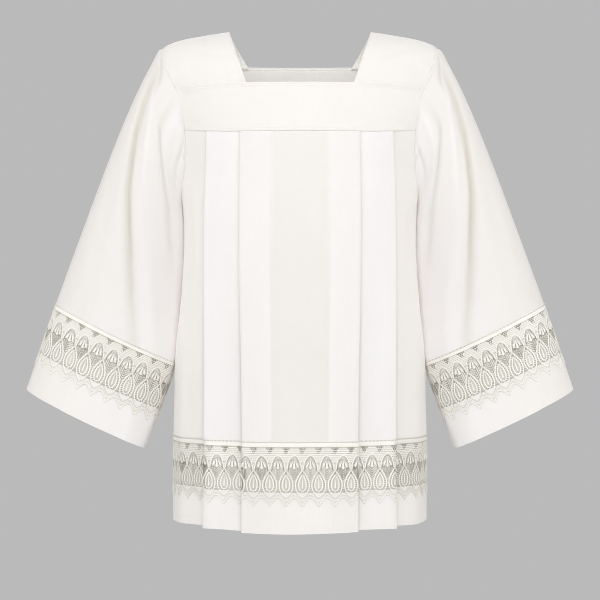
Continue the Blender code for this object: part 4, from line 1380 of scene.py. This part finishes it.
def chart_heading(chart):
    chart.cord(straight((-ARCH_X, 5.9), (ARCH_X, 5.9), 3.3), 6.6, 0.5)
    for step in range(6):
        x = -ARCH_X + REPEAT / 6 * step
        chart.cord([(x, 9.0), (x, 11.2)], 1.6, 0.6)
    ripple = -ARCH_X + REPEAT / 4 * (np.arange(4) + 0.5)
    for x in ripple:  # the ripple that sews the lace to the cloth
        chart.cord([(x - 3.1, 0.6), (x, -0.7), (x + 3.1, 0.6)], 1.5, 1.0)
    chart.shade_rest(0.0)
    for x in ripple:  # and the dents between it and the heading, painted in shade
        chart.cord([(x - 1.9, 1.6), (x + 1.9, 1.6)], 1.7, 0.1)
    chart.shade_rest(HEADING_DENT_SHADE)


def ground_shade(x, y):
    """How much painted shade the net has at a place: darkest in the triangle and round the petals.
    """
    x = abs(x)
    places = (("triangle", y < 21.4 and x < half_at(TRIANGLE, y) + 0.4), ("edges", y < 11.8),
              ("heart", x < half_at(DROP_HEART, y)), ("drop", x < half_at(DROP_HALF, y)),
              ("arch", ARCH_X - x < half_at(ARCH_HALF, y)), ("edges", y > 43), ("between", True))
    return GROUND_SHADES[next(name for name, found in places if found)]


def chart_lines(chart):
    for step in range(8):
        y = 11.6 + 2.8 * step
        inner = half_at(TRIANGLE, y) if y < 21 else 0.0
        outer = ARCH_X - half_at(ARCH_HALF, y)
        if outer - inner < 1.0:
            continue
        if inner > 0.2:
            chart.both(straight((inner, y), (outer, y)), 1.75, 0.6)
        else:
            chart.cord(straight((-outer, y), (outer, y)), 1.75, 0.6)
    chart.both(straight(*TRIANGLE), 1.3, 1.1)
    for y, half in ((13.9, 4.6), (17.3, 2.3)):
        chart.cord([(-half, y), (half, y)], 1.0, 0.8)
    chart.both([(1.9, 10.4), (1.9, 13.9)], 0.95, 0.8)
    chart.cord([(0, 13.9), (0, 17.3)], 0.95, 0.8)
    for y in BARS["tip"]:  # between two arches, above a drop's tip
        chart.cord([(-2.4, y), (2.4, y)], 1.3, 0.7)
    chart.shade_rest(0.0)


def chart_arch(chart):
    chart.both(curve_through(ARCH_HALF, 12) + (ARCH_X, 0), 1.9, 1.2, ARCH_X)
    chart.both(curve_through(ARCH_INNER, 9) + (ARCH_X, 0), 0.8, 0.8, ARCH_X)
    rungs(chart, ARCH_HALF[:-1], ARCH_INNER, 8, 0.95, ARCH_X)
    chart.petal((ARCH_X, 26.2), (ARCH_X, 44.0), 5.0, 1.5)
    for way in (-1, 1):
        chart.petal((ARCH_X + 0.9 * way, 28.0), (ARCH_X + 6.5 * way, 40.6), 3.9, 1.3)
    chart.shade_rest(0.0)


def chart_drop(chart):
    for rows, width, high, steps in ((DROP_HALF, 2.1, 1.15, 17), (DROP_HEART, 2.1, 1.0, 12)):
        half = curve_through(rows, steps)
        chart.cord(np.concatenate([half, half[-2:0:-1] * (-1, 1)]), width, high, closed=True)
    chart.petal((0, 54.5), (0, 74.0), 3.4, 0.9)
    rungs(chart, DROP_HALF[1:-2], DROP_HEART[:-1], 10, 1.3, 0.0)
    chart.shade_rest(0.0)
    for y in BARS["drop"]:
        chart.cord([(-5.2, y), (5.2, y)], 1.2, 0.4)
    chart.shade_rest(SHADED)


def chart_scallop(chart):
    chart.both(SCALLOP, 1.9, 2.0)
    chart.both(SCALLOP_INNER, 1.4, 1.5)
    for ends in list(zip(SCALLOP, SCALLOP_INNER))[:7]:
        chart.both(ends, 0.9, 0.6)
    chart.shade_rest(0.0)
    chart.both(np.array(SCALLOP) + (0, 1.5), 1.3, 0.15)  # the dents that they press into the hem, painted in shade
    chart.both(np.array(SCALLOP_INNER) + (0, 1.4), 1.1, 0.15)
    chart.both(DROP_END, 1.1, 0.15)
    chart.shade_rest(SCALLOP_DENT_SHADE)


def chart_mesh(name, chart):
    mesh = bpy.data.meshes.new(name)
    mesh.from_pydata((np.array(chart.points) * MM).tolist(), [], chart.faces)
    mesh.attributes.new("shade", "FLOAT", "FACE").data.foreach_set("value", chart.shades)
    mesh.shade_smooth()
    mesh.set_sharp_from_angle(angle=radians(45))
    mesh.calc_loop_triangles()
    print("one repeat,", name + ":", len(mesh.loop_triangles), "triangles")
    return bpy.data.objects.new(name, mesh)


def make_embroidery():
    chart = Chart()
    for draw in (chart_heading, chart_lines, chart_arch, chart_drop, chart_scallop, chart_net):
        draw(chart)
    chart.shade_rest(SHADED)
    return chart_mesh("embroidery", chart)


def make_net():
    chart = Chart()
    chart.ground(8.9, 78.5, 8, 1.55, ground_shade)
    return chart_mesh("net", chart)


REPEATS = {"lace": make_embroidery(), "net": make_net()}

# %% [markdown]
# Geometry Nodes set the repeats out in a row: points on a line, one repeat on each point, made
# real, so that the result is plain mesh. The row is still flat.

# %% Lace: a row of repeats
def node_tree(name, inputs):
    """An empty Geometry Nodes tree with named inputs. Returns it and each input's identifier."""
    tree = bpy.data.node_groups.new(name, "GeometryNodeTree")
    tree.interface.new_socket("Geometry", in_out="INPUT", socket_type="NodeSocketGeometry")
    keys = {}
    for label, kind in inputs.items():
        made = tree.interface.new_socket(label, in_out="INPUT", socket_type="NodeSocket" + kind)
        keys[label] = made.identifier
    tree.interface.new_socket("Geometry", in_out="OUTPUT", socket_type="NodeSocketGeometry")
    return tree, keys


def add(tree, kind, links=None, **settings):
    """A node, its settings, and what its sockets are joined to or set to. Returns its outputs."""
    made = tree.nodes.new(kind)
    for key, setting in settings.items():
        setattr(made, key, setting)
    for key, source in (links or {}).items():
        if isinstance(source, bpy.types.NodeSocket):
            tree.links.new(source, made.inputs[key])
        else:
            made.inputs[key].default_value = source
    return made.outputs


def repeat_at(tree, start, links):
    """Ends a tree: its object stands on every point, as plain mesh, in its material."""
    one = add(tree, "GeometryNodeObjectInfo", {"Object": start["Object"]})
    laid = add(tree, "GeometryNodeInstanceOnPoints", {"Instance": one["Geometry"], **links})
    real = add(tree, "GeometryNodeRealizeInstances", {0: laid[0]})
    dressed = add(tree, "GeometryNodeSetMaterial",
                  {"Geometry": real[0], "Material": start["Material"]})
    add(tree, "NodeGroupOutput", {0: dressed[0]})


def row_tree():
    tree, keys = node_tree("lace_row", {"Repeats": "Int", "Pitch": "Float", "Object": "Object",
                                        "Material": "Material"})
    start = add(tree, "NodeGroupInput")
    step = add(tree, "ShaderNodeCombineXYZ", {"X": start["Pitch"]})
    back = add(tree, "ShaderNodeMath", {0: start["Repeats"], 1: -1.0}, operation="ADD")
    half = add(tree, "ShaderNodeMath", {0: back[0], 1: -0.5}, operation="MULTIPLY")
    first = add(tree, "ShaderNodeMath", {0: half[0], 1: start["Pitch"]}, operation="MULTIPLY")
    place = add(tree, "ShaderNodeCombineXYZ", {"X": first[0]})
    line = add(tree, "GeometryNodeMeshLine",
               {"Count": start["Repeats"], "Start Location": place[0], "Offset": step[0]})
    repeat_at(tree, start, {"Points": line[0]})
    return tree, keys


def grown(mesh, tree, keys, values):
    """The plain mesh that a tree makes on another."""
    carrier = bpy.data.objects.new(mesh.name, mesh)
    scene.collection.objects.link(carrier)
    scene.collection.objects.link(values["Object"])
    modifier = carrier.modifiers.new("grow", "NODES")
    modifier.node_group = tree
    for label, value in values.items():
        modifier[keys[label]] = value
    depsgraph = bpy.context.evaluated_depsgraph_get()
    mesh = bpy.data.meshes.new_from_object(carrier.evaluated_get(depsgraph))
    bpy.data.objects.remove(carrier)
    scene.collection.objects.unlink(values["Object"])
    return mesh


LACE_ROW = row_tree()


def flat_row(repeats, kind):
    return grown(bpy.data.meshes.new("row"), *LACE_ROW,
                 {"Repeats": repeats, "Pitch": REPEAT * MM, "Object": REPEATS[kind],
                  "Material": thread})


# %% [markdown]
# Last, the flat row is bent onto the garment. A band is a fine grid on the cloth that knows, for
# each of its points, how many half repeats it lies from the middle. A flat point finds its place
# by reading that grid, and its height lifts it off the cloth.

# %% Lace: onto the cloth
LIE = 0.95 * MM  # from the middle of the cloth below to the middle of the lace


class Band:
    """A grid on the cloth. Rows run down the lace, and halves counts half repeats along each."""

    def __init__(self, points, lifted, halves, tucked=None):
        self.points, self.out, self.halves = points, (lifted - points) / MM, halves
        # the painted shade of the lace along the band
        self.tucked = np.zeros(points.shape[1]) if tucked is None else tucked

    def wrap(self, across, down, high):
        """Places on the cloth: across in half repeats, down as a share, high in metres."""
        last = len(self.points) - 1
        at = np.clip(down, -0.02, 1) * last
        low = np.clip(np.floor(at).astype(int), 0, last - 1)
        share = (at - low)[:, None]
        placed = np.empty((len(across), 3))
        for row in range(last):
            mine = low == row
            ends = [on_line(across[mine], self.halves[line], self.points[line])
                    + on_line(across[mine], self.halves[line], self.out[line]) * high[mine, None]
                    for line in (row, row + 1)]
            placed[mine] = ends[0] * (1 - share[mine]) + ends[1] * share[mine]
        return placed


LACE_SPACING = {"middle": 60, "under_1": 32, "second": 72, "under_2": 28, "side": 96, "bend": 13}
LACE_POINT_Z = LACE_TOP_Z - LACE_TALL * MM
BODY_HALVES = 38  # half repeats from the middle of a face to its side seam
BODY_ROWS, BODY_REACH = 40, 20  # down the lace, and columns that run on past a side seam
# Painted shade on the lace: a little on the middle panel, and more on the side panels, which lie
# in the pleats' shade: metres from the middle, and shade.
LACE_SHADES = (0.092, 0.096, 0.146, 0.150), (0.035, 0.0, 0.0, 0.13)


def body_band(face):
    heights = np.linspace(LACE_TOP_Z, LACE_POINT_Z, BODY_ROWS)
    other = "back" if face == "front" else "front"
    reach, grids = BODY_REACH, []
    for lift in (0.0, MM):
        own, layers = pleated(face, heights, LACE_SPACING, body_relief, lift)
        far, _ = pleated(other, heights, LACE_SPACING, body_relief, lift)
        grids.append(np.concatenate([far[:, reach:0:-1], own, far[:, -2:-reach - 2:-1]], axis=1))
    length = running(grids[0])
    columns = length.shape[1]
    length -= length[:, columns // 2, None]
    # Painted shade on the lace: dark where the cloth below is painted dark, inside a pleat and
    # beside an edge, and more on the side panels.
    under = np.clip((1.0 - layers[BODY_ROWS // 2]) / 5.0, 0, 0.6)
    shades = np.interp(np.abs(own[BODY_ROWS // 2, :, 0]), *LACE_SHADES)
    tucked = np.pad(np.maximum(under, shades), reach, mode="edge")
    return Band(*grids, length / length[:, columns - 1 - reach, None] * BODY_HALVES, tucked)


SLEEVE_HALVES = 22  # half repeats from a sleeve's outer edge to its inner edge
SLEEVE_LACE = 0.650  # the share of the way from the lace's ring to the cuff that it covers
SLEEVE_GRID = {"rows": 36, "columns": 130, "reach": 16}
FIRST_ROWS = 0.03  # how much further up the sleeve the lace's top edge starts


def sleeve_band(side):
    rows, columns, reach = SLEEVE_GRID.values()
    share = np.linspace(0, 1, rows)
    places = LACE_RING + SLEEVE_LACE * (share - FIRST_ROWS * (1 - share) ** 5)
    grids = []
    for lift in (0.0, MM):
        ring = np.array([sleeve_ring(place, columns, lift) for place in places]) * (side, 1, 1)
        grids.append(np.concatenate([ring[:, -reach:], ring, ring[:, :reach + 1]], axis=1))
    length = running(grids[0])
    edges = [length[:, reach + part * columns, None] for part in range(3)]
    first = (length - edges[0]) / (edges[1] - edges[0]) * SLEEVE_HALVES
    second = SLEEVE_HALVES + (length - edges[1]) / (edges[2] - edges[1]) * SLEEVE_HALVES
    return Band(*grids, np.where(length < edges[1], first, second))


def lay_lace(name, mesh, band, shift, flip):
    """Bends a flat row onto a band, and gives it the band's painted shade."""
    flat = np.empty(len(mesh.vertices) * 3, np.float32)
    mesh.vertices.foreach_get("co", flat)
    flat = flat.reshape(-1, 3).astype(float)
    across = flat[:, 0] / (REPEAT / 2 * MM) + shift
    placed = band.wrap(across, flat[:, 1] / (LACE_TALL * MM), flat[:, 2] + LIE)
    mesh.vertices.foreach_set("co", placed.astype(np.float32).ravel())
    # the band's painted shade, for each point of the lace
    tucked = np.interp(across, band.halves[len(band.halves) // 2], band.tucked).astype(np.float32)
    mesh.attributes.new("tucked", "FLOAT", "POINT").data.foreach_set("value", tucked)
    if flip:
        mesh.flip_normals()
    mesh.name = name
    mesh.update()
    return put(name, mesh, thread)


# %% Lace: round the body and the sleeves
# Half repeats, so that the lace joins up.
LACE_SHIFT = {"front": -0.71, "back": 0.71, "sleeve": -0.68}

bands = {("round", face): body_band(face) for face in OUT}
bands.update({("cuff", name): sleeve_band(side) for name, side in SIDES})
for kind in REPEATS:
    for face in OUT:
        piece = lay_lace(kind + "_round_" + face, flat_row(BODY_HALVES, kind),
                         bands["round", face], LACE_SHIFT[face], face == "front")
        if kind == "lace":
            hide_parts("lace_" + face)
        tell(piece)
    for name, side in SIDES:
        piece = lay_lace(kind + "_cuff_" + name, flat_row(SLEEVE_HALVES, kind),
                         bands["cuff", name], SLEEVE_HALVES + LACE_SHIFT["sleeve"], side < 0)
        if kind == "lace":
            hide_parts("sleeve_lace_%s_front" % name, "sleeve_lace_%s_back" % name)
        tell(piece)

# %% [markdown]
# The turned edges are stitched by machine, 2.6 mm from stitch to stitch. Geometry Nodes turn each
# kept line into a curve, space points along it, and lay one stitch on each point: a spindle with
# eight faces, long enough to read as thread and cheap enough to repeat thousands of times.

# %% Stitches
STITCH = {"pitch": 2.6 * MM, "long": 2.0 * MM, "wide": 0.55 * MM, "high": 0.40 * MM}
STITCH_LIFT = 0.45 * MM  # how far out of the middle of the cloth the stitches lie


def one_stitch():
    long, wide, high = (STITCH[key] / 2 for key in ("long", "wide", "high"))
    points = [(long, 0, 0), (-long, 0, 0), (0, wide, 0), (0, -wide, 0),
              (0, 0, high), (0, 0, -high)]
    upper = [(0, 2, 4), (2, 1, 4), (1, 3, 4), (3, 0, 4)]
    faces = upper + [(b, a, 5) for a, b, _ in upper]
    mesh = bpy.data.meshes.new("stitch")
    mesh.from_pydata(points, [], faces)
    mesh.shade_smooth()
    return bpy.data.objects.new("stitch", mesh)


def stitch_tree():
    tree, keys = node_tree("stitches", {"Pitch": "Float", "Object": "Object",
                                        "Material": "Material"})
    start = add(tree, "NodeGroupInput")
    line = add(tree, "GeometryNodeMeshToCurve", {"Mesh": start["Geometry"]})
    spaced = add(tree, "GeometryNodeResampleCurve", {"Curve": line[0], "Length": start["Pitch"]},
                 mode="LENGTH")
    out = add(tree, "GeometryNodeInputNamedAttribute", {"Name": "out"}, data_type="FLOAT_VECTOR")
    along = add(tree, "GeometryNodeInputTangent")
    up = add(tree, "FunctionNodeAlignRotationToVector", {"Vector": out[0]}, axis="Z")
    turned = add(tree, "FunctionNodeAlignRotationToVector",
                 {"Rotation": up[0], "Vector": along[0]}, axis="X", pivot_axis="Z")
    repeat_at(tree, start, {"Points": spaced[0], "Rotation": turned[0]})
    return tree, keys


def sew():
    points, edges, outs = [], [], []
    for line, out in STITCH_LINES:
        first = len(points)
        points += (line + out * STITCH_LIFT).tolist()
        edges += [(first + k, first + k + 1) for k in range(len(line) - 1)]
        outs += out.tolist()
    mesh = bpy.data.meshes.new("stitch_lines")
    mesh.from_pydata(points, edges, [])
    mesh.attributes.new("out", "FLOAT_VECTOR", "POINT").data.foreach_set("vector", np.ravel(outs))
    stitch = one_stitch()
    sewn = grown(mesh, *stitch_tree(),
                 {"Pitch": STITCH["pitch"], "Object": stitch, "Material": thread})
    bpy.data.objects.remove(stitch)
    piece = put("stitches", sewn, thread)
    tell(piece, len(STITCH_LINES), "lines,")


sew()
